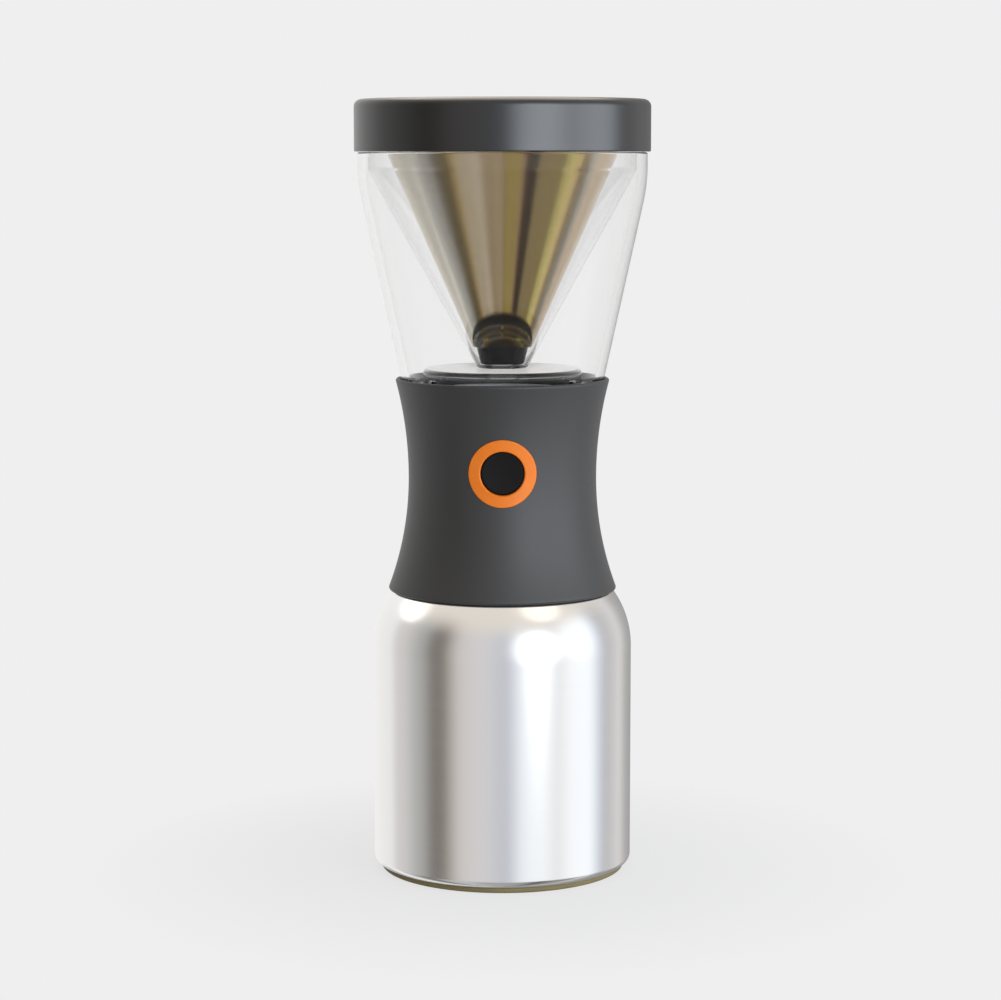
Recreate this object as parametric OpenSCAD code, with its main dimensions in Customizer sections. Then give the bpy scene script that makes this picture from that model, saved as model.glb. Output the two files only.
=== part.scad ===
// Cold brew coffee maker: a clear brewing chamber with a cone filter stands on a waisted
// collar, and a push button in the collar lifts a valve that lets the brew run down into a
// double-walled steel carafe.
// The z axis is the axis of the maker, z = 0 is the table, and the button faces -y.

/* [Lid] */
// Outer diameter of the lid
lid_d = 137; // [136:0.5:150]
// Height of the lid
lid_h = 24; // [20:0.5:34]
// Wall of the lid's skirt
lid_wall = 2.4; // [1.6:0.1:2.8]
// Thickness of the lid's top
lid_top = 2.6; // [1.6:0.1:4]
// Radius of the lid's top edge
lid_edge_r = 3.5; // [1:0.1:6]
// Number of stiffening ribs under the lid
lid_ribs = 12; // [6:1:24]
// Thickness of a stiffening rib
lid_rib_t = 1.6; // [1:0.1:2.4]
// Thickness of the sealing ring in the lid
lid_seal_t = 2.2; // [1.4:0.1:3]

/* [Brewing chamber] */
// Distance of the chamber's side inside the lid's side
chamber_inset = 1.5; // [1:0.1:4]
// Height of the chamber that shows between the collar and the lid
chamber_h = 104.6; // [90:0.2:130]
// Wall of the chamber
chamber_wall = 4; // [3:0.1:4.4]
// Height of the straight part under the lid
chamber_straight = 6; // [2:0.5:12]
// Radius of the bend from the straight part to the taper
chamber_bend_r = 80; // [40:1:110]
// Height of the neck inside the lid
chamber_neck_h = 10; // [6:0.5:12]
// Wall of the neck inside the lid
chamber_neck_wall = 2.6; // [2:0.1:3.4]
// Depth of the chamber's skirt below the collar's rim
chamber_skirt = 13.4; // [11:0.2:16]
// Depth of the chamber's gutter below the collar's rim
gutter_drop = 1.9; // [1:0.1:3]
// Thickness of the chamber's floor
floor_t = 3.5; // [2.5:0.1:4.5]
// Width of the gutter round the raised drain plate
gutter_w = 5.9; // [5:0.1:10]
// Height of the drain plate above the collar's rim
plate_rise = 5; // [3:0.1:6]
// Wall of the drain plate
plate_wall = 2.5; // [1.6:0.1:3]
// Radius of the drain plate's top edge
plate_edge_r = 2.2; // [1:0.1:2.4]
// Radius of the hole in the middle of the drain plate
plate_hole_r = 7; // [4:0.5:9]
// Number of drain slots round the plate
plate_slots = 6; // [3:1:8]
// Width of a drain slot
plate_slot_w = 5; // [2:0.5:7]
// Height of a drain slot
plate_slot_h = 2.2; // [1:0.1:2.6]

/* [Filter and funnel] */
// Distance of the mesh cone's top inside the rim ring
cone_inset = 1; // [0.6:0.1:3]
// Radius of the mesh cone's lower edge
cone_tip_r = 14; // [12:0.1:14.4]
// Thickness of the mesh sheet
mesh_t = 0.6; // [0.4:0.05:1]
// Height of the clear funnel's straight band under its flange
funnel_band = 18; // [10:0.5:22]
// Wall of the clear funnel
funnel_wall = 1.6; // [1.2:0.1:2]
// Radius of the funnel's flat foot
funnel_foot_r = 11.6; // [10.6:0.1:13]
// Radius of the funnel's drain hole
funnel_hole_r = 5; // [3:0.5:7]
// Radius of the funnel's foot edge
funnel_edge_r = 1.1; // [0.5:0.1:1.4]
// Thickness of the funnel's hanging flange
funnel_flange_t = 2; // [1.4:0.1:3]
// Number of vent notches in the hanging flange
funnel_notches = 6; // [3:1:10]
// Width of a vent notch
funnel_notch_w = 8; // [4:0.5:12]
// Height of the filter's tip cap
tip_h = 8.1; // [7:0.1:9]
// Radius of the tip cap's upper edge
tip_top_r = 12.15; // [11:0.05:13]
// Radius of the tip cap's foot
tip_foot_r = 10.1; // [9:0.05:10.2]
// Height of the tip cap's plug inside the cone
tip_plug_h = 2.7; // [1.5:0.1:4]
// Height of the rim ring that carries the cone
rim_h = 2.2; // [1.6:0.1:3]
// Width of the rim ring
rim_w = 4; // [3:0.1:4.4]
// Height of the rim ring's upstand
rim_upstand = 1.2; // [0.8:0.1:1.8]

/* [Collar] */
// Outer diameter of the collar's waist
collar_waist_d = 87.7; // [84:0.1:92]
// Distance that the collar's rim stands out past the waist
rim_flare = 5.85; // [5:0.05:8]
// Distance that the collar's lower edge stands out past the waist
foot_flare = 9.4; // [7:0.1:11]
// Height of the collar's rim above the socket plate
rim_up = 60.3; // [58:0.1:72]
// Height of the waist above the socket plate
waist_up = 14.2; // [10:0.1:20]
// Wall of the soft collar sleeve
collar_wall = 2; // [1.4:0.1:2.2]
// Wall of the core tube in the collar
core_wall = 2.4; // [1.8:0.1:3]
// Thickness of the core's flanges
core_flange_t = 2.8; // [2:0.1:3.2]
// Drop of the core's pan below the chamber's skirt
pan_drop = 0.5; // [0.3:0.1:1]
// Thickness of the socket plate over the carafe's mouth
deck_t = 2.5; // [2:0.1:4]
// Wall of the socket round the carafe's neck
socket_wall = 2.4; // [1.8:0.1:3]
// Depth of the socket round the carafe's neck
socket_depth = 15; // [8:0.5:16]

/* [Button] */
// Height of the button above the socket plate
button_up = 20.1; // [18.5:0.1:21]
// Diameter of the button
button_d = 19.5; // [17:0.1:20]
// Travel of the button
button_travel = 4; // [3:0.1:4.2]
// Depth of the button's face behind the collar's waist
button_recess = 1.4; // [0.8:0.1:2]
// Thickness of the button's face
button_face_t = 2; // [1.4:0.1:2.4]
// Length of the button
button_len = 6.5; // [5:0.1:8]
// Wall of the button
button_wall = 1.6; // [1:0.1:1.8]
// Outer diameter of the coloured ring round the button
ring_d = 31; // [28:0.1:34]
// Distance that the ring stands proud of the collar
ring_proud = 0.5; // [0.2:0.1:1]
// Depth of the ring's seat behind the collar's waist
ring_seat = 4.25; // [4:0.05:5]
// Bevel of the ring's inner edge
ring_bevel = 0.45; // [0.2:0.05:0.8]
// Diameter of the slider's rod
rod_d = 7; // [5:0.1:8]
// Length of the button's guide
guide_len = 14.6; // [13:0.1:16]

/* [Valve] */
// Diameter of the drain bore
drain_d = 12.4; // [9:0.1:13]
// Diameter of the valve's plug
plug_d = 16.6; // [15:0.1:17.4]
// Thickness of the plug's disc
plug_t = 2.5; // [1.5:0.1:3]
// Outer diameter of the valve's seat
seat_d = 19; // [17.6:0.1:22]
// Thickness of the valve's seat
seat_t = 1.8; // [1.2:0.1:2.4]
// Diameter of the valve's stem
stem_d = 4; // [3:0.1:4.2]
// Inner radius of the valve box
box_r = 17.5; // [17:0.1:19]
// Inner height of the valve box
box_h = 7; // [5.5:0.1:7.4]
// Wall of the valve box
box_wall = 2; // [1.6:0.1:2.6]
// Thickness of the valve box's floor and flange
box_t = 2.5; // [2:0.1:2.8]
// Diameter of the spout tube
spout_d = 10; // [8:0.1:10.6]
// Wall of the spout tube
spout_wall = 1; // [0.8:0.1:1.4]
// Distance of the spout from the axis
spout_x = 11; // [10.9:0.1:12]
// Depth of the spout's end below the carafe's mouth
spout_dip = 14; // [6:0.5:24]

/* [Springs] */
// Wire diameter of the button's spring
button_wire = 1; // [0.7:0.05:1.1]
// Turns of the button's spring
button_turns = 6; // [4:1:7]
// Wire diameter of the valve's spring
valve_wire = 0.8; // [0.6:0.05:0.9]
// Turns of the valve's spring
valve_turns = 3; // [2:1:4]

/* [Carafe] */
// Outer diameter of the carafe
carafe_d = 121; // [112:0.5:130]
// Height at which the carafe's side turns into the shoulder
carafe_side_h = 105.4; // [80:0.2:140]
// Radius of the shoulder
shoulder_r = 44; // [40:0.5:46]
// Outer diameter of the carafe's neck
neck_d = 54; // [52:0.5:58]
// Height of the mouth above the start of the shoulder
neck_up = 61.1; // [58:0.1:64]
// Radius of the hollow corner between shoulder and neck
neck_fillet_r = 4; // [2:0.5:5]
// Thickness of the steel walls
steel_t = 0.8; // [0.5:0.05:1.2]
// Width of the vacuum between the steel walls
vacuum_gap = 2.4; // [1.6:0.1:3.2]
// Radius of the outer wall's lower edge
heel_r = 4; // [2:0.1:6]
// Radius of the liner's lower edge
liner_heel_r = 8; // [5:0.5:14]
// Height of the space under the liner's floor
liner_lift = 4; // [2:0.2:8]
// Height of the base cap
base_h = 2.4; // [1.6:0.1:4]
// Distance of the base cap's edge inside the carafe's side
base_inset = 3.3; // [2.4:0.1:5]
// Height of the mouth ring above the steel walls
mouth_h = 2.5; // [1.6:0.1:4]
// Width of the neck seal
seal_w = 5; // [3:0.1:5.4]
// Thickness of the neck seal
seal_t = 2; // [1.2:0.1:3]

/* [Fasteners] */
// Length of a housing screw under its head
screw_len = 5.2; // [4:0.1:5.6]
// Diameter of a housing screw
screw_d = 2.9; // [2:0.1:3]
// Diameter of a housing screw's head
screw_head_d = 5.4; // [4:0.1:6]
// Height of a housing screw's head
screw_head_h = 1.8; // [1.2:0.1:2.4]

/* [Hidden] */
$fn = 96;

// Overrun of every cut, and the clearances of the fits
over = 1;
lift_gap = 0.3;
snug_gap = 0.1;
shaft_gap = 0.05;
slide_gap = 0.2;
vent_gap = 1;
sweep_step = 0.01;

// Carafe, from the table up
carafe_r = carafe_d / 2;
neck_r = neck_d / 2;
shoulder_x = carafe_r - shoulder_r;
mouth_z = carafe_side_h + neck_up;
steel_top = mouth_z - mouth_h;
liner_inset = steel_t + vacuum_gap;
liner_z = base_h + steel_t + liner_lift;
mouth_out_r = neck_r + steel_t;
mouth_in_r = neck_r - liner_inset - steel_t - steel_t / 2;
tongue_h = mouth_h;

// Collar, which stands on the socket plate and whose lower edge just clears the shoulder
deck_z = mouth_z + seal_t;
deck_top = deck_z + deck_t;
waist_mid = whole_steps(collar_waist_d / 2 - collar_wall / 2);
foot_mid = waist_mid + foot_flare;
rim_mid = waist_mid + rim_flare;
foot_reach = shoulder_r + lift_gap + collar_wall / 2;
foot_z = whole_steps(carafe_side_h + sqrt(pow(foot_reach, 2) - pow(foot_mid - shoulder_x, 2)));
waist_z = whole_steps(deck_top + waist_up);
rim_z = deck_top + rim_up;
lip_z = rim_z - collar_wall / 2;
upper_r = sweep_radius(lip_z - waist_z, rim_mid - waist_mid);
lower_r = sweep_radius(waist_z - foot_z, foot_mid - waist_mid);
core_r = waist_mid - collar_wall / 2 - slide_gap;
core_in = core_r - core_wall;

// Lid and chamber
lid_z = rim_z + chamber_h;
lid_r = lid_d / 2;
shoulder_z = lid_z - lift_gap;
bend_z = shoulder_z - chamber_straight;
chamber_r = lid_r - chamber_inset;
bend_x = chamber_r - chamber_bend_r;
skirt_z = rim_z - chamber_skirt;
tuck_r = collar_in(skirt_z) - lift_gap - snug_gap;
tuck_x = tuck_r - bend_x;
tuck_up = skirt_z - bend_z;
tuck_far = sqrt(tuck_x * tuck_x + tuck_up * tuck_up);
taper = -(atan2(tuck_up, tuck_x) + acos(chamber_bend_r / tuck_far));
lid_in_r = lid_r - lid_wall;
neck_out_r = lid_in_r - lift_gap - slide_gap;
neck_in_r = neck_out_r - chamber_neck_wall;
neck_z = shoulder_z + chamber_neck_h;
gutter_z = rim_z - gutter_drop;
floor_z = gutter_z - floor_t;
plate_r = chamber_in(gutter_z) - gutter_w;
plate_z = rim_z + plate_rise;

// Funnel and filter hang from the chamber's neck, one on the other
funnel_z = plate_z + lift_gap;
funnel_r = neck_in_r - vent_gap;
funnel_top = neck_z + funnel_flange_t;
funnel_cone_z = neck_z - funnel_band;
funnel_angle = atan((funnel_r - funnel_foot_r) / (funnel_cone_z - funnel_z));
funnel_side = funnel_wall / cos(funnel_angle);
tip_z = funnel_z + funnel_wall + lift_gap + slide_gap;
cone_z = tip_z + tip_h;
flange_z = funnel_top + rim_h;
rim_out_r = neck_out_r - lift_gap - lift_gap;
rim_in_r = rim_out_r - rim_w;
cone_top_r = rim_in_r - cone_inset;
cone_angle = atan((cone_top_r - cone_tip_r) / (flange_z - cone_z));
mesh_side = mesh_t / cos(cone_angle);
flange_r = rim_out_r - rim_w / 2 + snug_gap;
seal_z = flange_z + mesh_t;
lid_roof = lid_z + lid_h - lid_top;

// Core of the collar
core_z = whole_steps(shoulder_top(core_in) + lift_gap + slide_gap);
pan_z = skirt_z - pan_drop;
pan_t = seat_t * 2 + snug_gap * 4;
gasket_r = chamber_in(skirt_z) - lift_gap;
gasket_in_r = gasket_r - core_wall - seat_t;
gasket_t = seat_t;
boss_r = screw_head_d * 2 / 3;
boss_x = core_in - boss_r - screw_head_h;
boss_h = screw_len * 2;
pilot_r = screw_d / 2 - shaft_gap;
socket_r = mouth_out_r + lift_gap;

// Button, in a frame whose z points out of the collar's face
button_z = deck_top + button_up;
button_r = button_d / 2;
ring_r = ring_d / 2;
waist_r = collar_waist_d / 2;
seat_y = waist_r - ring_seat;
face_y = waist_r - button_recess;
guide_r = button_r + slide_gap;
guide_out_r = guide_r + box_wall;
guide_back = seat_y - guide_len;
guide_flange_r = guide_out_r + box_t;
pad_back = seat_y - core_flange_t;
nose_y = guide_back - snug_gap;

// Wedge on the slider and its follower on the stem, both at 45 degrees
nose_h = button_travel * 2.75;
nose_top = button_z + nose_h / 2;
nose_foot = button_z - nose_h / 2;
follower_y = button_travel * 1.25;
follower_w = button_travel * 1.6;
slot_w = follower_w + slide_gap * 2;
cheek_w = slot_w + box_wall * 2 - slide_gap * 2;
cheek_top = nose_top + follower_y / 2;
follower_top = nose_top + follower_y / 2;
ramp_gap = snug_gap + shaft_gap;

// Valve
seat_z = pan_z + pan_t - seat_t + lift_gap;
plug_z = seat_z + seat_t + shaft_gap;
box_z = pan_z - box_h;
box_floor = box_z - box_t;
stem_r = stem_d / 2;
stem_top = plug_z + plug_t + stem_r / 2;
spout_r = spout_d / 2;
valve_screw_x = box_r + box_wall + screw_head_d / 2 + slide_gap * 2;
spring_gap = shaft_gap;

// The collar's two arcs meet at the waist, so their sizes are whole steps of one length
function whole_steps(size) = round(size / sweep_step) * sweep_step;
function sweep_radius(up, out) = whole_steps((up * up + out * out) / (2 * out));
function collar_in(z) = waist_mid + (z > waist_z ? upper_r : lower_r)
    - sqrt(pow((z > waist_z ? upper_r : lower_r) + collar_wall / 2, 2) - pow(z - waist_z, 2));
function shoulder_top(r) = carafe_side_h + sqrt(pow(shoulder_r, 2) - pow(r - shoulder_x, 2));
function chamber_out(z) = tuck_r + (z - skirt_z) * tan(taper);
function chamber_in(z) = chamber_out(z) - chamber_wall / cos(taper);
function funnel_at(z) = funnel_foot_r + (z - funnel_z) * tan(funnel_angle);

// Points of a coil from z = 0 up, eight rings a turn and six points a ring
function coil_ring(r, wire, angle, z, steep) = [for (k = [0:5])
    let (out = r + wire / 2 * cos(k * 60), up = wire / 2 * sin(k * 60))
    [out * cos(angle) + up * sin(steep) * sin(angle),
     out * sin(angle) - up * sin(steep) * cos(angle), z + up * cos(steep)]];

module coil_spring(r, wire, turns, length) {
    steps = turns * 8;
    pitch = (length - wire) / turns;
    steep = atan(pitch / (2 * PI * r));
    rings = [for (i = [0:steps]) coil_ring(r, wire, i * 45, wire / 2 + i * pitch / 8, steep)];
    sides = [for (i = [0:steps - 1], k = [0:5])
        let (a = i * 6 + k, b = i * 6 + (k + 1) % 6) each [[a, a + 6, b], [b, a + 6, b + 6]]];
    caps = [for (k = [1:4]) each [[0, k, k + 1],
        [steps * 6, steps * 6 + k + 1, steps * 6 + k]]];
    echo(least_gap = pitch * cos(steep) - wire);
    polyhedron([for (ring = rings) each ring], concat(sides, caps));
}

module washer(r_in, r_out, z, h) {
    translate([0, 0, z]) difference() {
        cylinder(r = r_out, h = h);
        translate([0, 0, -over]) cylinder(r = r_in, h = h + 2 * over);
    }
}

// A disc profile whose upper outer edge is rounded
module round_top(r, h, edge) {
    square([r, h - edge]);
    square([r - edge, h]);
    translate([r - edge, h - edge]) circle(edge);
}

// Puts a part into the button's frame
module at_button() {
    translate([0, 0, button_z]) rotate([90, 0, 0]) children();
}

// Extrudes a profile of y and z across the x axis
module across(w) {
    rotate([90, 0, 90]) translate([0, 0, -w / 2]) linear_extrude(w) children();
}

module screw_places() {
    for (a = [90, 210, 330]) rotate(a) translate([valve_screw_x, 0, pan_z - box_t]) children();
    for (a = [45:90:315]) rotate(a) translate([boss_x, 0, deck_z]) children();
}

module lid_cap() {
    color("#2c2b2d") {
        rotate_extrude() difference() {
            translate([0, lid_z]) round_top(lid_r, lid_h, lid_edge_r);
            translate([0, lid_z - over]) square([lid_in_r, lid_h - lid_top + over]);
        }
        washer(rim_in_r + snug_gap, flange_r - slide_gap, seal_z + lid_seal_t,
            lid_roof - seal_z - lid_seal_t + over / 2);
        for (i = [0:lid_ribs - 1]) rotate(i * 360 / lid_ribs)
            translate([flange_r - lid_wall, -lid_rib_t / 2, rib_z()])
                cube([lid_in_r - flange_r + lid_wall * 1.5, lid_rib_t,
                    lid_roof - rib_z() + over / 2]);
    }
}
function rib_z() = flange_z + rim_upstand + lid_seal_t;

module lid_seal() {
    color("#8c8f93") washer(rim_in_r - slide_gap, flange_r - slide_gap, seal_z, lid_seal_t);
}

// The chamber's outline down to a height of low, moved inwards by d
module chamber_shape(d, low) {
    bend = chamber_bend_r - d;
    side_x = bend_x + bend * cos(taper);
    side_z = bend_z - bend * sin(taper);
    polygon([[0, low], [side_x - (side_z - low) * tan(taper), low], [side_x, side_z],
        [0, side_z]]);
    intersection() {
        translate([bend_x, bend_z]) circle(bend, $fn = 256);
        translate([0, low]) square([chamber_r, bend_z + chamber_straight - low]);
    }
    translate([0, bend_z]) square([chamber_r - d, chamber_straight]);
}

// What the chamber's skirt leaves to the collar's sleeve and its lip
module collar_room() {
    difference() {
        translate([0, skirt_z - over]) square([chamber_r, lip_z - skirt_z + over]);
        collar_shape(collar_wall + slide_gap);
    }
    translate([rim_mid, lip_z]) circle(collar_wall / 2 + slide_gap);
}

module chamber_hollow() {
    difference() {
        chamber_shape(chamber_wall, skirt_z - over);
        translate([0, floor_z]) square([chamber_r, floor_t]);
    }
}

module brewing_chamber() {
    color("#dfe6ea", 0.35) difference() {
        rotate_extrude() {
            difference() {
                union() {
                    chamber_shape(0, skirt_z);
                    translate([0, shoulder_z - over]) square([neck_out_r, chamber_neck_h + over]);
                }
                collar_room();
                chamber_hollow();
                translate([0, shoulder_z - over])
                    square([neck_in_r, chamber_neck_h + 2 * over]);
                translate([0, floor_z - over]) square([plate_r - plate_wall, floor_t + 2 * over]);
            }
            difference() {
                translate([0, floor_z]) round_top(plate_r, plate_z - floor_z, plate_edge_r);
                translate([0, floor_z - over])
                    square([plate_r - plate_wall, plate_z - floor_z - plate_wall + over]);
                translate([0, floor_z]) square([plate_hole_r, plate_z - floor_z + over]);
            }
        }
        for (i = [0:plate_slots - 1]) rotate((i + 0.5) * 360 / plate_slots)
            translate([plate_r - plate_wall - over, -plate_slot_w / 2, gutter_z])
                cube([plate_wall + 2 * over, plate_slot_w, plate_slot_h]);
    }
}

module drip_funnel() {
    edge_z = funnel_z + funnel_edge_r;
    edge_x = funnel_foot_r
        - funnel_edge_r * (1 - sin(funnel_angle)) / cos(funnel_angle);
    color("#e3e8ea", 0.3) difference() {
        rotate_extrude() difference() {
            union() {
                polygon([[0, funnel_z], [edge_x, funnel_z], [edge_x, edge_z],
                    [edge_x + funnel_edge_r * cos(funnel_angle),
                    edge_z - funnel_edge_r * sin(funnel_angle)],
                    [funnel_r, funnel_cone_z], [funnel_r, funnel_top], [0, funnel_top]]);
                translate([edge_x, edge_z]) circle(funnel_edge_r);
                translate([0, neck_z]) square([neck_out_r - slide_gap, funnel_flange_t]);
            }
            polygon([[0, funnel_z + funnel_wall], [funnel_at(funnel_z + funnel_wall) - funnel_side,
                funnel_z + funnel_wall], [funnel_r - funnel_wall, funnel_cone_z
                + (funnel_side - funnel_wall) / tan(funnel_angle)],
                [funnel_r - funnel_wall, funnel_top + over], [0, funnel_top + over]]);
            translate([0, funnel_z - over]) square([funnel_hole_r, funnel_wall + 2 * over]);
        }
        for (i = [0:funnel_notches - 1]) rotate(i * 360 / funnel_notches)
            translate([funnel_r + snug_gap, -funnel_notch_w / 2, neck_z - over])
                cube([rim_w + over, funnel_notch_w, funnel_flange_t + 2 * over]);
    }
}

module filter_cone() {
    color("#b89b5e") rotate_extrude()
        polygon([[cone_tip_r - mesh_side, cone_z], [cone_tip_r, cone_z],
            [cone_top_r, flange_z], [flange_r, flange_z], [flange_r, flange_z + mesh_t],
            [cone_top_r + mesh_t * tan(cone_angle) - mesh_side, flange_z + mesh_t]]);
}

module filter_rim() {
    color("#3a3632") {
        washer(rim_in_r, rim_out_r, funnel_top, rim_h);
        washer(flange_r + snug_gap, rim_out_r, funnel_top + rim_h - over / 4,
            rim_upstand + over / 4);
    }
}

module filter_tip_cap() {
    plug_r = cone_tip_r - mesh_side - snug_gap;
    bevel = lift_gap * 2;
    color("#171517") rotate_extrude()
        polygon([[0, tip_z], [tip_foot_r - bevel, tip_z], [tip_foot_r, tip_z + bevel],
            [tip_top_r, cone_z], [plug_r, cone_z],
            [plug_r + tip_plug_h * tan(cone_angle), cone_z + tip_plug_h],
            [0, cone_z + tip_plug_h]]);
}

// One half of the collar's wall: an arc band that ends in a round lip
module collar_band(r, up, side) {
    bend = asin(up / r);
    far = r + collar_wall * 4;
    translate([waist_mid + r, waist_z]) {
        intersection() {
            difference() {
                circle(r + collar_wall / 2, $fn = 360);
                circle(r - collar_wall / 2, $fn = 360);
            }
            polygon([[0, 0], [-far, 0], [-far * cos(bend), side * far * sin(bend)]]);
        }
        translate([-r * cos(bend), side * r * sin(bend)]) circle(d = collar_wall);
    }
}

// Everything inside the collar's outer face, moved inwards by d
module collar_shape(d) {
    difference() {
        translate([0, waist_z]) square([rim_mid + collar_wall, lip_z - waist_z]);
        translate([waist_mid + upper_r, waist_z])
            circle(upper_r - collar_wall / 2 + d, $fn = 360);
    }
    difference() {
        translate([0, foot_z]) square([foot_mid + collar_wall, waist_z - foot_z]);
        translate([waist_mid + lower_r, waist_z])
            circle(lower_r - collar_wall / 2 + d, $fn = 360);
    }
}

module collar_sleeve() {
    color("#38373a") difference() {
        rotate_extrude() {
            collar_band(upper_r, lip_z - waist_z, 1);
            collar_band(lower_r, waist_z - foot_z, -1);
        }
        at_button() translate([0, 0, seat_y / 2])
            cylinder(r = ring_r + snug_gap, h = waist_r);
    }
}

module button_ring() {
    bore = guide_r + snug_gap;
    color("#e2792a") difference() {
        intersection() {
            at_button() translate([0, 0, seat_y]) cylinder(r = ring_r, h = waist_r);
            rotate_extrude() collar_shape(-ring_proud);
        }
        at_button() {
            cylinder(r = bore, h = waist_r + ring_seat);
            translate([0, 0, face_y]) cylinder(r1 = bore - ring_bevel / 2,
                r2 = bore + ring_bevel * 2, h = ring_bevel * 5);
        }
    }
}

module collar_core() {
    flange_low = collar_in(core_z + core_flange_t) - slide_gap;
    color("#1f1e20") difference() {
        union() {
            rotate_extrude() {
                translate([core_in, core_z]) square([core_wall, pan_z - core_z]);
                translate([core_in, core_z]) square([flange_low - core_in, core_flange_t]);
                translate([gasket_in_r, skirt_z - core_flange_t])
                    square([collar_in(skirt_z - core_flange_t) - slide_gap - gasket_in_r,
                        core_flange_t]);
                translate([core_in - core_flange_t, deck_top])
                    square([core_flange_t + over, core_flange_t]);
                difference() {
                    translate([0, pan_z]) square([gasket_r, floor_z - gasket_t - pan_z]);
                    polygon([[0, seat_z + seat_t - lift_gap],
                        [seat_d / 2 + slide_gap, seat_z + seat_t - lift_gap],
                        [gasket_in_r, seat_z + seat_t + lift_gap * 4],
                        [gasket_in_r, floor_z + over], [0, floor_z + over]]);
                }
            }
            at_button() translate([0, 0, pad_back]) cylinder(r = ring_r, h = core_flange_t + over);
            intersection() {
                at_button() translate([0, 0, pad_back])
                    cylinder(r = ring_r + core_wall, h = core_flange_t + over);
                rotate_extrude() collar_shape(collar_wall + slide_gap);
            }
            for (a = [45:90:315]) rotate(a) {
                translate([boss_x, 0, deck_top]) cylinder(r = boss_r, h = boss_h);
                translate([boss_x, -core_wall / 2, deck_top])
                    cube([core_in - boss_x + over, core_wall, boss_h]);
            }
        }
        at_button() {
            translate([0, 0, seat_y]) cylinder(r = ring_r + core_wall + over, h = waist_r);
            translate([0, 0, pad_back - over])
                cylinder(r = guide_out_r + shaft_gap, h = waist_r);
            translate([0, 0, pad_back - waist_r / 4])
                cylinder(r = guide_flange_r + slide_gap, h = waist_r / 4);
        }
        translate([0, 0, pan_z - over]) cylinder(d = drain_d, h = pan_t + 3 * over);
        translate([0, 0, seat_z]) cylinder(d = seat_d + 2 * shaft_gap, h = seat_t + over);
        screw_places() cylinder(r = pilot_r, h = screw_len + lift_gap);
    }
}

module chamber_gasket() {
    color("#b9bcbf") washer(gasket_in_r, gasket_r - snug_gap, floor_z - gasket_t, gasket_t);
}

module button_guide() {
    color("#4a4a4d") at_button() difference() {
        union() {
            translate([0, 0, guide_back]) cylinder(r = guide_out_r, h = guide_len);
            translate([0, 0, pad_back - box_wall]) cylinder(r = guide_flange_r, h = box_wall);
        }
        translate([0, 0, guide_back + box_wall]) cylinder(r = guide_r, h = guide_len);
        translate([0, 0, guide_back - over])
            cylinder(d = rod_d + 2 * shaft_gap, h = box_wall + 2 * over);
    }
}

module button_cap() {
    hub_r = rod_d / 2 + button_wall;
    edge = slide_gap * 2;
    color("#1b1a1c") at_button() difference() {
        translate([0, 0, face_y - button_len]) rotate_extrude()
            round_top(button_r, button_len, edge);
        translate([0, 0, face_y - button_len - over]) difference() {
            cylinder(r = button_r - button_wall, h = button_len - button_face_t + over);
            translate([0, 0, over]) cylinder(r = hub_r, h = button_len);
        }
        translate([0, 0, face_y - button_len - over])
            cylinder(d = rod_d + 2 * shaft_gap, h = button_len - button_face_t + over);
    }
}

module button_slider() {
    color("#c9c6bd") {
        at_button() translate([0, 0, nose_y - over])
            cylinder(d = rod_d, h = face_y - button_face_t - nose_y + over);
        across(cheek_w) polygon([[-nose_y, nose_foot], [nose_h - follower_y, nose_foot],
            [-follower_y, nose_top], [-nose_y, nose_top]]);
        for (s = [-1, 1]) translate([s * (slot_w + cheek_w) / 4, 0, 0])
            across((cheek_w - slot_w) / 2)
                polygon([[-follower_y * 3, nose_foot], [nose_h - follower_y + over, nose_foot],
                    [nose_h - follower_y + over, cheek_top], [-follower_y * 2, cheek_top],
                    [-follower_y * 3, nose_top]]);
    }
}

module button_spring() {
    length = face_y - button_face_t - guide_back - box_wall - 2 * spring_gap;
    color("silver") at_button() translate([0, 0, guide_back + box_wall + spring_gap])
        coil_spring(button_r - button_wall - button_wire - slide_gap, button_wire, button_turns,
            length);
}

module valve_seat() {
    color("#d9d6cf") washer(drain_d / 2, seat_d / 2, seat_z, seat_t);
}

module valve_plug() {
    hub_r = stem_r + plug_t * 0.8;
    color("#a8aaad") difference() {
        rotate_extrude() {
            translate([0, plug_z]) round_top(plug_d / 2, plug_t, plug_t / 3);
            translate([0, plug_z]) square([hub_r, plug_t + stem_r]);
        }
        translate([0, 0, plug_z - over])
            cylinder(r = stem_r + shaft_gap / 2, h = stem_top - plug_z + over + shaft_gap);
    }
}

module valve_stem() {
    color("#d0cdc4") {
        translate([0, 0, follower_top - over])
            cylinder(r = stem_r, h = stem_top - follower_top + over);
        across(follower_w) polygon([[-follower_y, nose_top + ramp_gap],
            [follower_y, nose_top - 2 * follower_y + ramp_gap], [follower_y, follower_top],
            [-follower_y, follower_top]]);
    }
}

module valve_spring() {
    color("silver") translate([0, 0, follower_top + spring_gap])
        coil_spring(stem_r + slide_gap + valve_wire / 2, valve_wire, valve_turns,
            box_floor - follower_top - 2 * spring_gap);
}

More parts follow.
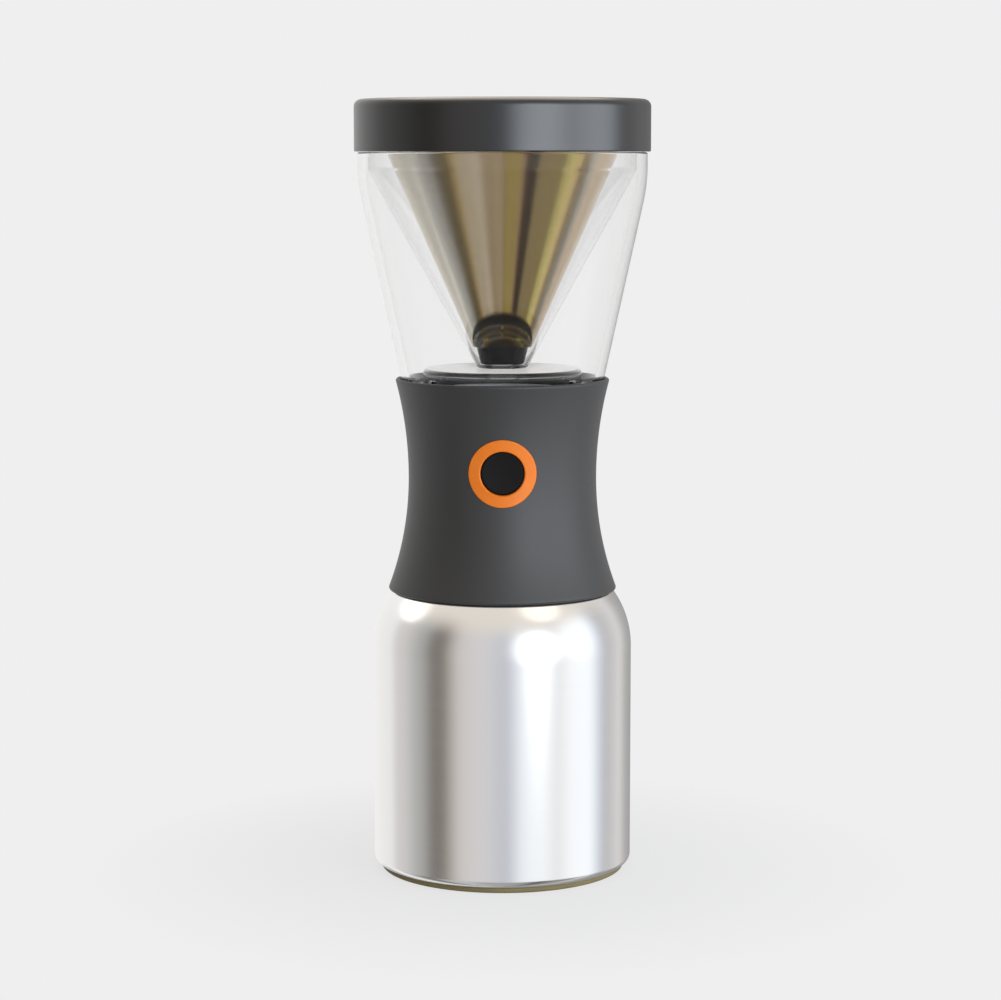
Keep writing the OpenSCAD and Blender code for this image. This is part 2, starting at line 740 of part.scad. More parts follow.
module valve_box() {
    color("#2a2a2d") difference() {
        union() {
            translate([0, 0, box_floor]) cylinder(r = box_r + box_wall, h = pan_z - box_floor);
            translate([0, 0, pan_z - box_t])
                cylinder(r = valve_screw_x + screw_head_d * 2 / 3, h = box_t);
        }
        translate([0, 0, box_z]) cylinder(r = box_r, h = box_h + over);
        translate([0, 0, box_floor - over]) cylinder(r = stem_r + shaft_gap, h = box_t + 2 * over);
        translate([spout_x, 0, box_floor - over])
            cylinder(r = spout_r + shaft_gap, h = box_t + 2 * over);
        translate([spout_x, 0, box_z - spout_wall])
            cylinder(r = spout_r + spout_wall + shaft_gap, h = box_h);
        screw_places() translate([0, 0, -over]) cylinder(r = screw_d / 2 + snug_gap, h = screw_len);
    }
}

module stem_seal() {
    color("#8c8f93") washer(stem_r + shaft_gap, stem_r + box_t, box_z, box_t);
}

module drain_spout() {
    tip = mouth_z - spout_dip;
    color("#e8e6df") translate([spout_x, 0, 0]) difference() {
        union() {
            translate([0, 0, tip]) cylinder(r = spout_r, h = box_z - tip);
            translate([0, 0, box_z - spout_wall]) cylinder(r = spout_r + spout_wall, h = spout_wall);
        }
        translate([0, 0, tip - over]) cylinder(r = spout_r - spout_wall, h = box_z - tip + 2 * over);
        translate([-spout_r, -spout_d, tip]) rotate([0, -30, 0])
            translate([-spout_d, 0, -spout_d]) cube([spout_d * 4, spout_d * 2, spout_d]);
    }
}

module neck_socket() {
    rib_h = socket_depth / 3;
    color("#29282b") difference() {
        union() {
            translate([0, 0, deck_z]) cylinder(r = core_in - slide_gap, h = deck_t);
            washer(socket_r, socket_r + socket_wall, deck_z - socket_depth, socket_depth + over);
            for (a = [0:45:315]) rotate(a + 22.5)
                translate([socket_r + socket_wall / 2, -lid_rib_t / 2, deck_z - rib_h])
                    cube([core_in - socket_r - socket_wall * 1.5, lid_rib_t, rib_h + over]);
        }
        translate([spout_x, 0, deck_z - over])
            cylinder(r = spout_r + snug_gap, h = deck_t + 2 * over);
        screw_places() translate([0, 0, -over]) cylinder(r = screw_d / 2 + snug_gap, h = screw_len);
    }
}

module neck_seal() {
    color("#9a9da1") washer(mouth_out_r - seal_w, mouth_out_r, mouth_z, seal_t);
}

module housing_screws() {
    color("silver") screw_places() {
        cylinder(r = pilot_r - shaft_gap / 2, h = screw_len);
        translate([0, 0, -screw_head_h]) difference() {
            cylinder(d = screw_head_d, h = screw_head_h);
            translate([0, 0, -over])
                cylinder(d = screw_d * 0.8, h = over + screw_head_h / 2, $fn = 6);
        }
    }
}

// The carafe's outline on both sides of the axis, moved inwards by d, with its floor at z
module carafe_outline(d, z, heel) {
    corner = neck_fillet_r + d;
    offset(r = -corner) offset(delta = corner) {
        hull() for (s = [-1, 1]) {
            translate([s * shoulder_x, carafe_side_h]) circle(shoulder_r - d);
            translate([s * (carafe_r - d - heel), z + heel]) circle(heel);
        }
        translate([d - neck_r, carafe_side_h]) square([2 * (neck_r - d), neck_up]);
    }
}

// A steel wall of the carafe, d inside its outer face, with its floor at z
module steel_wall(d, z, heel) {
    rotate_extrude() intersection() {
        difference() {
            carafe_outline(d, z, heel);
            carafe_outline(d + steel_t, z + steel_t, heel - steel_t);
        }
        square([carafe_r, steel_top]);
    }
}

module carafe_outer_wall() {
    color("#c9cacc") difference() {
        steel_wall(0, base_h, heel_r);
        translate([0, 0, base_h - over])
            cylinder(r = carafe_r - base_inset - heel_r, h = steel_t + 2 * over);
    }
}

module carafe_inner_liner() {
    color("#b9babd") steel_wall(liner_inset, liner_z, liner_heel_r);
}

module carafe_mouth_ring() {
    color("#d5d6d8") {
        washer(mouth_in_r, mouth_out_r, steel_top, mouth_h);
        washer(neck_r - liner_inset + snug_gap, neck_r - steel_t - snug_gap,
            steel_top - tongue_h, tongue_h + over / 2);
    }
}

module carafe_base_cap() {
    cap_r = carafe_r - base_inset;
    color("#8f8458") rotate_extrude() difference() {
        union() {
            translate([0, base_h / 2]) square([cap_r, base_h / 2]);
            square([cap_r - base_h / 2, base_h]);
            translate([cap_r - base_h / 2, base_h / 2]) circle(base_h / 2);
        }
        translate([0, -over]) square([cap_r - heel_r - base_h, over + base_h / 2]);
    }
}

lid_cap();
lid_seal();
brewing_chamber();
drip_funnel();
filter_cone();
filter_rim();
filter_tip_cap();
collar_sleeve();
collar_core();
chamber_gasket();
button_ring();
button_guide();
button_cap();
button_slider();
button_spring();
valve_seat();
valve_plug();
valve_stem();
valve_spring();
valve_box();
stem_seal();
drain_spout();
neck_socket();
neck_seal();
housing_screws();
carafe_mouth_ring();
carafe_outer_wall();
carafe_inner_liner();
carafe_base_cap();
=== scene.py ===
import math

import bmesh
import bpy
from mathutils import Matrix, Vector


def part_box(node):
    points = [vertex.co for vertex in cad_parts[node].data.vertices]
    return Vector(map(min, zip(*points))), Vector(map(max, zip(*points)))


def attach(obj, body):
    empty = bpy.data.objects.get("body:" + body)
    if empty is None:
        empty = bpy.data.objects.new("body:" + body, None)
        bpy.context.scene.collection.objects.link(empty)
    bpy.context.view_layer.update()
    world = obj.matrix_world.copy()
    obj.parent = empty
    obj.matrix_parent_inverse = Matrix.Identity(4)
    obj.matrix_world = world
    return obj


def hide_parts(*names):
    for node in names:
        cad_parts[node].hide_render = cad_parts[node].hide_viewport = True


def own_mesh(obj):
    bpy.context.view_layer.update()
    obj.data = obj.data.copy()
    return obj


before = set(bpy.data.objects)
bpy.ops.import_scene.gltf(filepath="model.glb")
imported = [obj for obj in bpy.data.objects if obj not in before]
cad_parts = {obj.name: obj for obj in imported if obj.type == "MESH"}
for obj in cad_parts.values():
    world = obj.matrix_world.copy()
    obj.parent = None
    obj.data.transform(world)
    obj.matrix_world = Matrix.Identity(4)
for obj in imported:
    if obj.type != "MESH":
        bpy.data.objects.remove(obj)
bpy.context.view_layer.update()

# Outer wall of the carafe: a spun shell of thin stainless steel with a round shoulder
# and a short neck. It is brushed round its axis while it turns on the lathe, and its
# foot is an open ring that the base cap closes.
MM = 0.001
STEEL_T = 0.8
SHOULDER_R = 44
NECK_R = 27
NECK_FILLET_R = 4
HEEL_R = 4
FOOT_OPENING_R = 53.2
SIDE_TOP = 105.4
STEEL_TINT = (0.83, 0.82, 0.81, 1)
STEEL_SHADE = (0.76, 0.755, 0.75, 1)
BRUSH_LINES = (18, 18, 5200)
WIPE_MARKS = (40, 40, 14)
MARK_DEPTH = 0.00001
LARGE_STEPS = 384


def reach(node):
    """Outer radius, foot and top of a turned node, in millimetres."""
    low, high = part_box(node)
    return high[0] / MM, low[2] / MM, high[2] / MM


def arc(centre, radius, start, end, steps=24):
    """Points of an arc in the plane of radius and height, between two angles in degrees."""
    angles = [math.radians(start + (end - start) * i / steps) for i in range(steps + 1)]
    return [(centre[0] + radius * math.cos(a), centre[1] + radius * math.sin(a)) for a in angles]


def rounded(corners, steps=8):
    """An outline from corners of radius, height and edge radius, with each edge rounded."""
    points = []
    for i, (r, z, edge) in enumerate(corners):
        here = Vector((r, z))
        if edge == 0:
            points.append((r, z))
            continue
        back = (Vector(corners[i - 1][:2]) - here).normalized()
        ahead = (Vector(corners[(i + 1) % len(corners)][:2]) - here).normalized()
        half = back.angle(ahead) / 2
        centre = here + (back + ahead).normalized() * edge / math.sin(half)
        first = here + back * edge / math.tan(half) - centre
        last = here + ahead * edge / math.tan(half) - centre
        turn = first.angle_signed(last)
        for k in range(steps + 1):
            spoke = Matrix.Rotation(-turn * k / steps, 2) @ first
            points.append(tuple(centre + spoke))
    return points


def supported(outline, longest=12, margin=0.5):
    """The outline with points added on its straight runs, so that bends shade evenly."""
    points = []
    for (r, z), (next_r, next_z) in zip(outline, outline[1:] + outline[:1]):
        run = math.hypot(next_r - r, next_z - z)
        stops = [0]
        if run > 4 * margin:
            parts = math.ceil(run / longest)
            stops += [margin / run] + [i / parts for i in range(1, parts)] + [1 - margin / run]
        points += [(r + (next_r - r) * s, z + (next_z - z) * s) for s in stops]
    return points


def smooth(mesh, angle=32):
    mesh.shade_smooth()
    mesh.set_sharp_from_angle(angle=math.radians(angle))


def piece_of(name, mesh):
    piece = bpy.data.objects.new(name, mesh)
    bpy.context.collection.objects.link(piece)
    return piece


def piece_from(name, shape):
    """A piece with the faces of a bmesh, shaded smooth but for its sharp edges."""
    mesh = bpy.data.meshes.new(name)
    shape.to_mesh(mesh)
    shape.free()
    smooth(mesh)
    return piece_of(name, mesh)


def skinned(shape, rows):
    """Faces between closed rows of points, with none where two points lie on the axis."""
    for here, ahead in zip(rows, rows[1:] + rows[:1]):
        for k in range(len(here)):
            after = (k + 1) % len(here)
            if here[k].co.xy.length > 0 or here[after].co.xy.length > 0:
                shape.faces.new((here[k], ahead[k], ahead[after], here[after]))


def turned(name, outline, steps=256, stand=None):
    """A closed outline in millimetres, turned round the z axis or round that of a stand."""
    points = supported(outline)
    shape = bmesh.new()
    rings = []
    for i in range(steps):
        angle = 2 * math.pi * i / steps
        rings.append([shape.verts.new((r * MM * math.cos(angle), r * MM * math.sin(angle), z * MM))
                      for r, z in points])
    skinned(shape, rings)
    bmesh.ops.remove_doubles(shape, verts=shape.verts, dist=1e-8)
    bmesh.ops.recalc_face_normals(shape, faces=shape.faces)
    if stand is not None:
        bmesh.ops.transform(shape, matrix=stand, verts=shape.verts)
    return piece_from(name, shape)


def fitted(piece, finish, body, slot, *nodes):
    """Gives a piece its finish and seats it on the body whose nodes it stands for."""
    piece.data.materials.clear()
    piece.data.materials.append(finish.material)
    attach(piece, body)
    if nodes:
        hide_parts(*nodes)


class Socket:
    """An output of a node. An expression on sockets and numbers adds its Math nodes."""

    def __init__(self, nodes, link):
        self.nodes = nodes
        self.link = link

    def math(self, operation, *values):
        return self.nodes.node("ShaderNodeMath", {"operation": operation}, dict(enumerate(values)))

    def __add__(self, other):
        return self.math("ADD", self, other)

    __radd__ = __add__

    def __rsub__(self, other):
        return self.math("SUBTRACT", other, self)

    def __mul__(self, other):
        return self.math("MULTIPLY", self, other)

    __rmul__ = __mul__

    def __pow__(self, other):
        return self.math("POWER", self, other)


class Nodes:
    """A node tree that is built one node at a time."""

    def __init__(self, tree):
        self.tree = tree

    def node(self, kind, settings, inputs, output=0):
        """Adds a node, sets its settings, fills its sockets and returns one output."""
        node = self.tree.nodes.new(kind)
        for name, value in settings.items():
            if name == "stops":
                set_stops(node.color_ramp, value)
            else:
                setattr(node, name, value)
        for name, value in inputs.items():
            if isinstance(value, Socket):
                self.tree.links.new(value.link, node.inputs[name])
            else:
                node.inputs[name].default_value = value
        return Socket(self, node.outputs[output])

    def ramp(self, value, stops):
        return self.node("ShaderNodeValToRGB", {"stops": stops}, {"Fac": value})

    def between(self, factor, first, second, how="MIX"):
        """A colour between two others, or what becomes of the first under the second."""
        settings = {"data_type": "RGBA", "blend_type": how}
        return self.node("ShaderNodeMix", settings, {0: factor, 6: first, 7: second}, 2)


def set_stops(ramp, stops):
    while len(ramp.elements) < len(stops):
        ramp.elements.new(0.5)
    for element, (position, colour) in zip(ramp.elements, stops):
        element.position = position
        element.color = colour


class Finish(Nodes):
    """The material of a piece: one Principled shader with what varies over the surface."""

    def __init__(self, name, constants):
        self.material = bpy.data.materials.new(name)
        self.material.use_nodes = True
        super().__init__(self.material.node_tree)
        self.shader = self.tree.nodes["Principled BSDF"]
        for socket, value in constants.items():
            self.shader.inputs[socket].default_value = value

    def feed(self, socket, value):
        self.tree.links.new(value.link, self.shader.inputs[socket])

    def tint(self, factor, first, second, how="MIX"):
        self.feed("Base Color", self.between(factor, first, second, how))

    def place(self, stretch=(1, 1, 1)):
        """The piece's own coordinates in metres, drawn out by stretch."""
        own = self.node("ShaderNodeTexCoord", {}, {}, "Object")
        return self.node("ShaderNodeMapping", {}, {"Vector": own, "Scale": stretch})

    def speckle(self, scale, stretch=(1, 1, 1), detail=2.0):
        """A noise of 0 to 1 with so many lumps a metre."""
        inputs = {"Vector": self.place(stretch), "Scale": scale, "Detail": detail}
        return self.node("ShaderNodeTexNoise", {}, inputs, "Fac")

    def relief(self, height, depth, strength=1.0):
        """A relief of so many metres between heights 0 and 1."""
        inputs = {"Height": height, "Distance": depth, "Strength": strength}
        self.feed("Normal", self.node("ShaderNodeBump", {}, inputs))


def wall_outline(inset, floor, heel, opening):
    """A steel wall, inset from the carafe's outer face, with an opening in its floor."""
    fillet = (NECK_R + NECK_FILLET_R, SIDE_TOP + math.sqrt(
        (SHOULDER_R + NECK_FILLET_R) ** 2 - (NECK_R + NECK_FILLET_R - SHOULDER_X) ** 2))
    lean = math.degrees(math.atan2(fillet[1] - SIDE_TOP, fillet[0] - SHOULDER_X))

    def face(depth, heel_r, low):
        heel_at = (CARAFE_R - depth - heel_r, low + heel_r)
        return ([(opening, low)] + arc(heel_at, heel_r, -90, 0)
                + arc((SHOULDER_X, SIDE_TOP), SHOULDER_R - depth, 0, lean, 64)
                + arc(fillet, NECK_FILLET_R + depth, 180 + lean, 180, 16)
                + [(NECK_R - depth, STEEL_TOP)])

    outside = face(inset, heel, floor)
    inside = face(inset + STEEL_T, heel - STEEL_T, floor + STEEL_T)
    return outside + inside[::-1]


CARAFE_R, STEEL_FOOT, STEEL_TOP = reach("carafe_outer_wall")
SHOULDER_X = CARAFE_R - SHOULDER_R

carafe_steel = Finish("carafe_brushed_steel", {"Metallic": 1.0, "Anisotropic": 0.55})
brushing = carafe_steel.speckle(1, BRUSH_LINES, 4.0)
wiping = carafe_steel.speckle(1, WIPE_MARKS, 3.0)
carafe_steel.tint(brushing, STEEL_SHADE, STEEL_TINT)
carafe_steel.feed("Roughness", 0.13 + brushing * 0.09 + wiping * 0.04)
carafe_steel.relief(brushing, MARK_DEPTH, 0.35)

carafe_wall = turned("carafe_wall", wall_outline(0, STEEL_FOOT, HEEL_R, FOOT_OPENING_R))
fitted(carafe_wall, carafe_steel, "carafe", "carafe_steel", "carafe_outer_wall")

# Inner wall of the carafe: a deep-drawn steel liner, hung from the mouth ring so that a
# vacuum keeps the brew cold. It is left with the fine rings of its drawing tool and is
# seen only through the mouth.
LINER_INSET = 3.2
LINER_HEEL_R = 8
LINER_SHADE = (0.62, 0.62, 0.63, 1)
DRAW_RINGS = (25, 25, 2600)

liner_steel = Finish("liner_drawn_steel", {"Metallic": 1.0, "Anisotropic": 0.3})
drawing = liner_steel.speckle(1, DRAW_RINGS, 3.0)
liner_steel.tint(drawing, LINER_SHADE, STEEL_SHADE)
liner_steel.feed("Roughness", 0.26 + drawing * 0.12)
liner_steel.relief(drawing, MARK_DEPTH, 0.4)

liner_foot = reach("carafe_inner_liner")[1]
carafe_liner = turned("carafe_liner", wall_outline(LINER_INSET, liner_foot, LINER_HEEL_R, 0))
fitted(carafe_liner, liner_steel, "carafe", "liner_steel", "carafe_inner_liner")

# Mouth ring: a turned steel ring, welded on where the two walls of the carafe meet. Its
# rounded edges are polished, and the seal of the neck's socket presses on its top.
MOUTH_BORE_R = 22.6
MOUTH_TONGUE = (23.9, 26.1)
MOUTH_EDGE_R = 0.4
MOUTH_TOP_EDGE_R = 0.7
MOUTH_SHADE = (0.74, 0.74, 0.75, 1)


def plain_steel(name, tints, dullness, scale, stretch=(1, 1, 1)):
    """Bare steel with marks that change its tint and add to its least dullness."""
    finish = Finish(name, {"Metallic": 1.0})
    marks = finish.speckle(scale, stretch, 3.0)
    finish.tint(marks, *tints)
    finish.feed("Roughness", dullness[0] + marks * dullness[1])
    return finish


mouth_out_r, mouth_foot, mouth_top = reach("carafe_mouth_ring")
mouth_steel = plain_steel("mouth_polished_steel", (MOUTH_SHADE, STEEL_TINT), (0.12, 0.1), 260,
                          (1, 1, 6))
mouth_ring = turned("mouth_ring", rounded([
    (MOUTH_BORE_R, STEEL_TOP, MOUTH_EDGE_R), (MOUTH_TONGUE[0], STEEL_TOP, 0),
    (MOUTH_TONGUE[0], mouth_foot, 0), (MOUTH_TONGUE[1], mouth_foot, 0),
    (MOUTH_TONGUE[1], STEEL_TOP, 0), (mouth_out_r, STEEL_TOP, MOUTH_EDGE_R),
    (mouth_out_r, mouth_top, MOUTH_TOP_EDGE_R), (MOUTH_BORE_R, mouth_top, MOUTH_TOP_EDGE_R)]))
fitted(mouth_ring, mouth_steel, "carafe", "carafe_steel", "carafe_mouth_ring")

# Base cap: a warm grey-brown rubber disc, pressed into the open foot of the carafe. It
# closes the vacuum's foot, keeps the steel off the table and has a shallow recess below.
BASE_EDGE_R = 1.1
BASE_RECESS_R = 50.8
BASE_RECESS_LEAN = 0.6
BASE_LIP_R = 0.3
BASE_TOP_EDGE_R = 0.2
BASE_TINTS = ((0.15, 0.118, 0.05, 1), (0.25, 0.205, 0.095, 1))
BASE_DEPTH = 0.00006


def grained(name, constants, grain, patches, tints, dullness, relief):
    """A finish with a fine grain in relief and slow patches that change its tint.

    Dullness is the least roughness, and what the grain and the patches add to it.
    """
    finish = Finish(name, constants)
    marks = finish.speckle(*grain), finish.speckle(*patches)
    finish.tint(marks[1], *tints)
    finish.feed("Roughness", sum((m * d for m, d in zip(marks, dullness[1:])), dullness[0]))
    finish.relief(marks[0], *relief)
    return finish


base_r, base_foot, base_top = reach("carafe_base_cap")
recess_z = (base_foot + base_top) / 2
base_rubber = grained("base_rubber", {"Specular IOR Level": 0.35}, (2600,), (60, (1, 1, 4), 3.0),
                      BASE_TINTS, (0.55, 0.2), (BASE_DEPTH, 0.5))
base_cap = turned("base_cap", rounded([
    (0, recess_z, 0), (BASE_RECESS_R - BASE_RECESS_LEAN, recess_z, 0),
    (BASE_RECESS_R, base_foot, BASE_LIP_R), (base_r, base_foot, BASE_EDGE_R),
    (base_r, base_top, BASE_TOP_EDGE_R), (0, base_top, 0)]))
fitted(base_cap, base_rubber, "carafe", "base_rubber", "carafe_base_cap")

# Neck socket and its seal: the moulded plate that pushes over the carafe's neck and the
# soft silicone ring that it presses on the mouth. Screws hold the plate under the core.
MOULD_GRAIN = 1800
MOULD_DEPTH = 0.00002
DARK_PLASTIC = ((0.012, 0.012, 0.013, 1), (0.022, 0.022, 0.024, 1))
GREY_SILICONE = ((0.36, 0.37, 0.38, 1), (0.47, 0.48, 0.49, 1))


def moulded(name, tints, roughness, gloss=0.5):
    """Moulded plastic: a fine spark-eroded grain and a faint cloud of flow marks."""
    finish = Finish(name, {"Specular IOR Level": gloss})
    fine = finish.speckle(MOULD_GRAIN, detail=3.0)
    flow = finish.speckle(35, (1, 1, 2), 2.0)
    finish.tint(flow * 0.6 + fine * 0.4, *tints)
    finish.feed("Roughness", roughness + fine * 0.1 + flow * 0.05)
    finish.relief(fine, MOULD_DEPTH, 0.5)
    return finish


def silicone(name, tints):
    """Soft silicone: milky, with a dusty bloom that dulls it in patches."""
    finish = Finish(name, {"Subsurface Weight": 0.15, "Subsurface Scale": 0.002,
                           "Sheen Weight": 0.15, "Sheen Roughness": 0.4})
    bloom = finish.speckle(140, detail=4.0)
    finish.tint(bloom, *tints)
    finish.feed("Roughness", 0.42 + bloom * 0.25)
    finish.relief(finish.speckle(3000), MOULD_DEPTH, 0.4)
    return finish


def coated(finish, *nodes):
    """Gives nodes that keep their own shape a better finish."""
    for node in nodes:
        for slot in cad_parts[node].material_slots:
            slot.material = finish.material


dark_plastic = moulded("dark_plastic", DARK_PLASTIC, 0.3)
grey_silicone = silicone("grey_silicone", GREY_SILICONE)
coated(dark_plastic, "neck_socket")
coated(grey_silicone, "neck_seal")

# Spout and valve: a white moulded spout under a small box, the plug that closes the
# drain, its stem with the ramp that the slider lifts, and a milky seat and seal. The
# moulded pieces are acetal and the soft ones silicone.
WHITE_PLASTIC = ((0.66, 0.64, 0.58, 1), (0.76, 0.74, 0.68, 1))
WHITE_SILICONE = ((0.62, 0.6, 0.55, 1), (0.72, 0.7, 0.65, 1))

white_plastic = moulded("white_plastic", WHITE_PLASTIC, 0.38)
white_silicone = silicone("white_silicone", WHITE_SILICONE)
coated(dark_plastic, "valve_box")
coated(white_plastic, "drain_spout", "valve_stem", "button_slider")
coated(white_silicone, "valve_seat")
coated(grey_silicone, "valve_plug", "stem_seal", "chamber_gasket")

# Springs: two open coils of stainless wire. One returns the button in its guide, the
# other closes the valve round its stem, and both shorten by the button's travel.
BUTTON_WIRE = 1.0
BUTTON_TURNS = 6
VALVE_WIRE = 0.8
VALVE_TURNS = 3
COIL_STEPS = 32
WIRE_SIDES = 12
WIRE_TINTS = ((0.5, 0.5, 0.5, 1), (0.68, 0.67, 0.66, 1))


def baked(piece, name):
    """The mesh that a piece's modifiers leave."""
    seen = piece.evaluated_get(bpy.context.evaluated_depsgraph_get())
    mesh = bpy.data.meshes.new_from_object(seen)
    mesh.name = name
    smooth(mesh)
    return mesh


class Plan(Nodes):
    """A Geometry Nodes tree with named sizes, which ends in plain geometry of one finish."""

    def __init__(self, name, sizes, finish):
        super().__init__(bpy.data.node_groups.new(name, "GeometryNodeTree"))
        self.finish = finish
        self.identifiers = {}
        for size, kind in sizes.items():
            socket = self.tree.interface.new_socket(size, in_out="INPUT", socket_type=kind)
            self.identifiers[size] = socket.identifier
        self.tree.interface.new_socket("Geometry", in_out="OUTPUT",
                                       socket_type="NodeSocketGeometry")
        self.entry = self.tree.nodes.new("NodeGroupInput")

    def size(self, name):
        return Socket(self, self.entry.outputs[name])

    def close(self, geometry):
        whole = self.node("GeometryNodeRealizeInstances", {}, {"Geometry": geometry})
        painted = self.node("GeometryNodeSetMaterial", {},
                            {"Geometry": whole, "Material": self.finish.material})
        way_out = self.tree.nodes.new("NodeGroupOutput")
        self.tree.links.new(painted.link, way_out.inputs["Geometry"])

    def make(self, name, values):
        """Runs the plan with these sizes and returns its mesh as a piece."""
        holder = piece_of(name + "_plan", bpy.data.meshes.new(name + "_plan"))
        modifier = holder.modifiers.new("plan", "NODES")
        modifier.node_group = self.tree
        for size, value in values.items():
            modifier[self.identifiers[size]] = value
        mesh = baked(holder, name)
        bpy.data.objects.remove(holder)
        return piece_of(name, mesh)


spring_steel = plain_steel("spring_steel", WIRE_TINTS, (0.2, 0.16), 900)
coil = Plan("coil", {
    "Radius": "NodeSocketFloat", "Wire": "NodeSocketFloat", "Turns": "NodeSocketFloat",
    "Length": "NodeSocketFloat", "Seat": "NodeSocketVector", "Turn": "NodeSocketVector"},
    spring_steel)
turns = coil.node("GeometryNodeCurveSpiral", {}, {
    "Resolution": COIL_STEPS, "Rotations": coil.size("Turns"), "Start Radius": coil.size("Radius"),
    "End Radius": coil.size("Radius"), "Height": coil.size("Length")})
section = coil.node("GeometryNodeCurvePrimitiveCircle", {}, {
    "Resolution": WIRE_SIDES, "Radius": coil.size("Wire")})
wire = coil.node("GeometryNodeCurveToMesh", {}, {
    "Curve": turns, "Profile Curve": section, "Fill Caps": True})
coil.close(coil.node("GeometryNodeTransform", {}, {
    "Geometry": wire, "Translation": coil.size("Seat"), "Rotation": coil.size("Turn")}))


def spring(name, node, wire_d, turns, outward):
    """A coil that fills a spring's box, along the z axis or out along the button's."""
    low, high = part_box(node)
    half = wire_d * MM / 2
    radius = (high[0] - low[0]) / 2 - half
    if outward:
        length = high[1] - low[1] - 2 * half
        seat = (0, high[1] - half, (low[2] + high[2]) / 2)
    else:
        length = high[2] - low[2] - 2 * half
        seat = (0, 0, low[2] + half)
    turn = (math.pi / 2, 0, 0) if outward else (0, 0, 0)
    return coil.make(name, {
        "Radius": radius, "Wire": half, "Turns": float(turns), "Length": length, "Seat": seat,
        "Turn": turn})


button_coil = spring("button_coil", "button_spring", BUTTON_WIRE, BUTTON_TURNS, True)
fitted(button_coil, spring_steel, "brewer", "spring_steel", "button_spring")
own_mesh(button_coil)

valve_coil = spring("valve_coil", "valve_spring", VALVE_WIRE, VALVE_TURNS, False)
fitted(valve_coil, spring_steel, "brewer", "spring_steel", "valve_spring")
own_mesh(valve_coil)

# Housing screws: seven pan heads with hexagon sockets. Three hold the valve box under
# the core's pan, four hold the neck's socket plate under the core's bosses.
SCREW_R = 1.37
SCREW_HEAD_R = 2.7
SCREW_HEAD_H = 1.8
SCREW_LEN = 5.2
SCREW_KEY_R = 1.16
SCREW_HEAD_EDGE_R = 0.7
SCREW_POINT_H = 0.6
SCREW_POINT_IN = 0.5
VALVE_SCREWS = 3
VALVE_SCREWS_R = 22.6
DECK_SCREWS = 4
DECK_SCREWS_R = 33.9
PAN_SCREWS_Z = 214.9
DECK_SCREWS_Z = 168.5
SCREW_TINTS = ((0.45, 0.45, 0.46, 1), (0.63, 0.63, 0.64, 1))

screw_steel = plain_steel("screw_steel", SCREW_TINTS, (0.24, 0.14), 700)

def cut(piece, cutter):
    """Cuts the cutter out of a piece."""
    tool = piece.modifiers.new("cut", "BOOLEAN")
    tool.operation = "DIFFERENCE"
    tool.solver = "EXACT"
    tool.object = cutter
    mesh = baked(piece, piece.name)
    piece.modifiers.clear()
    piece.data = mesh
    bpy.data.objects.remove(cutter)


screw = turned("screw", rounded([
    (0, -SCREW_HEAD_H, 0), (SCREW_HEAD_R, -SCREW_HEAD_H, SCREW_HEAD_EDGE_R),
    (SCREW_HEAD_R, 0, 0), (SCREW_R, 0, 0), (SCREW_R, SCREW_LEN - SCREW_POINT_H, 0),
    (SCREW_R - SCREW_POINT_IN, SCREW_LEN, 0), (0, SCREW_LEN, 0)]), 32)
key = turned("key", [(0, -2 * SCREW_HEAD_H), (SCREW_KEY_R, -2 * SCREW_HEAD_H),
                     (SCREW_KEY_R, -SCREW_HEAD_H / 2), (0, -SCREW_HEAD_H / 2)], 6)
cut(screw, key)

screws = Plan("screws", {"Screw": "NodeSocketObject", "Valve Radius": "NodeSocketFloat",
                         "Valve Height": "NodeSocketFloat", "Deck Radius": "NodeSocketFloat",
                         "Deck Height": "NodeSocketFloat"}, screw_steel)


def screw_ring(count, radius, height, turn):
    """One ring of screws at a radius and a height, turned by so many degrees."""
    ring = screws.node("GeometryNodeMeshCircle", {}, {
        "Vertices": count, "Radius": screws.size(radius)})
    lift = screws.node("ShaderNodeCombineXYZ", {}, {"Z": screws.size(height)})
    placed = screws.node("GeometryNodeTransform", {}, {
        "Geometry": ring, "Translation": lift, "Rotation": (0, 0, math.radians(turn))})
    one = screws.node("GeometryNodeObjectInfo", {}, {"Object": screws.size("Screw")}, "Geometry")
    return screws.node("GeometryNodeInstanceOnPoints", {}, {"Points": placed, "Instance": one})


join = screws.tree.nodes.new("GeometryNodeJoinGeometry")
for ring in (screw_ring(VALVE_SCREWS, "Valve Radius", "Valve Height", 90),
             screw_ring(DECK_SCREWS, "Deck Radius", "Deck Height", 45)):
    screws.tree.links.new(ring.link, join.inputs[0])
screws.close(Socket(screws, join.outputs[0]))
all_screws = screws.make("all_screws", {
    "Screw": screw, "Valve Radius": VALVE_SCREWS_R * MM, "Valve Height": PAN_SCREWS_Z * MM,
    "Deck Radius": DECK_SCREWS_R * MM, "Deck Height": DECK_SCREWS_Z * MM})
bpy.data.objects.remove(screw)
fitted(all_screws, screw_steel, "brewer", "screw_steel", "housing_screws")

# Core of the collar and the button's guide: glossy black mouldings. The core carries the
# chamber, its floor is the drain pan that shows through the clear chamber, and the guide
# is pressed in behind the pad of the ring.
CORE_PLASTIC = ((0.008, 0.008, 0.009, 1), (0.015, 0.015, 0.016, 1))

core_plastic = moulded("core_plastic", CORE_PLASTIC, 0.16)
coated(core_plastic, "collar_core", "button_guide")

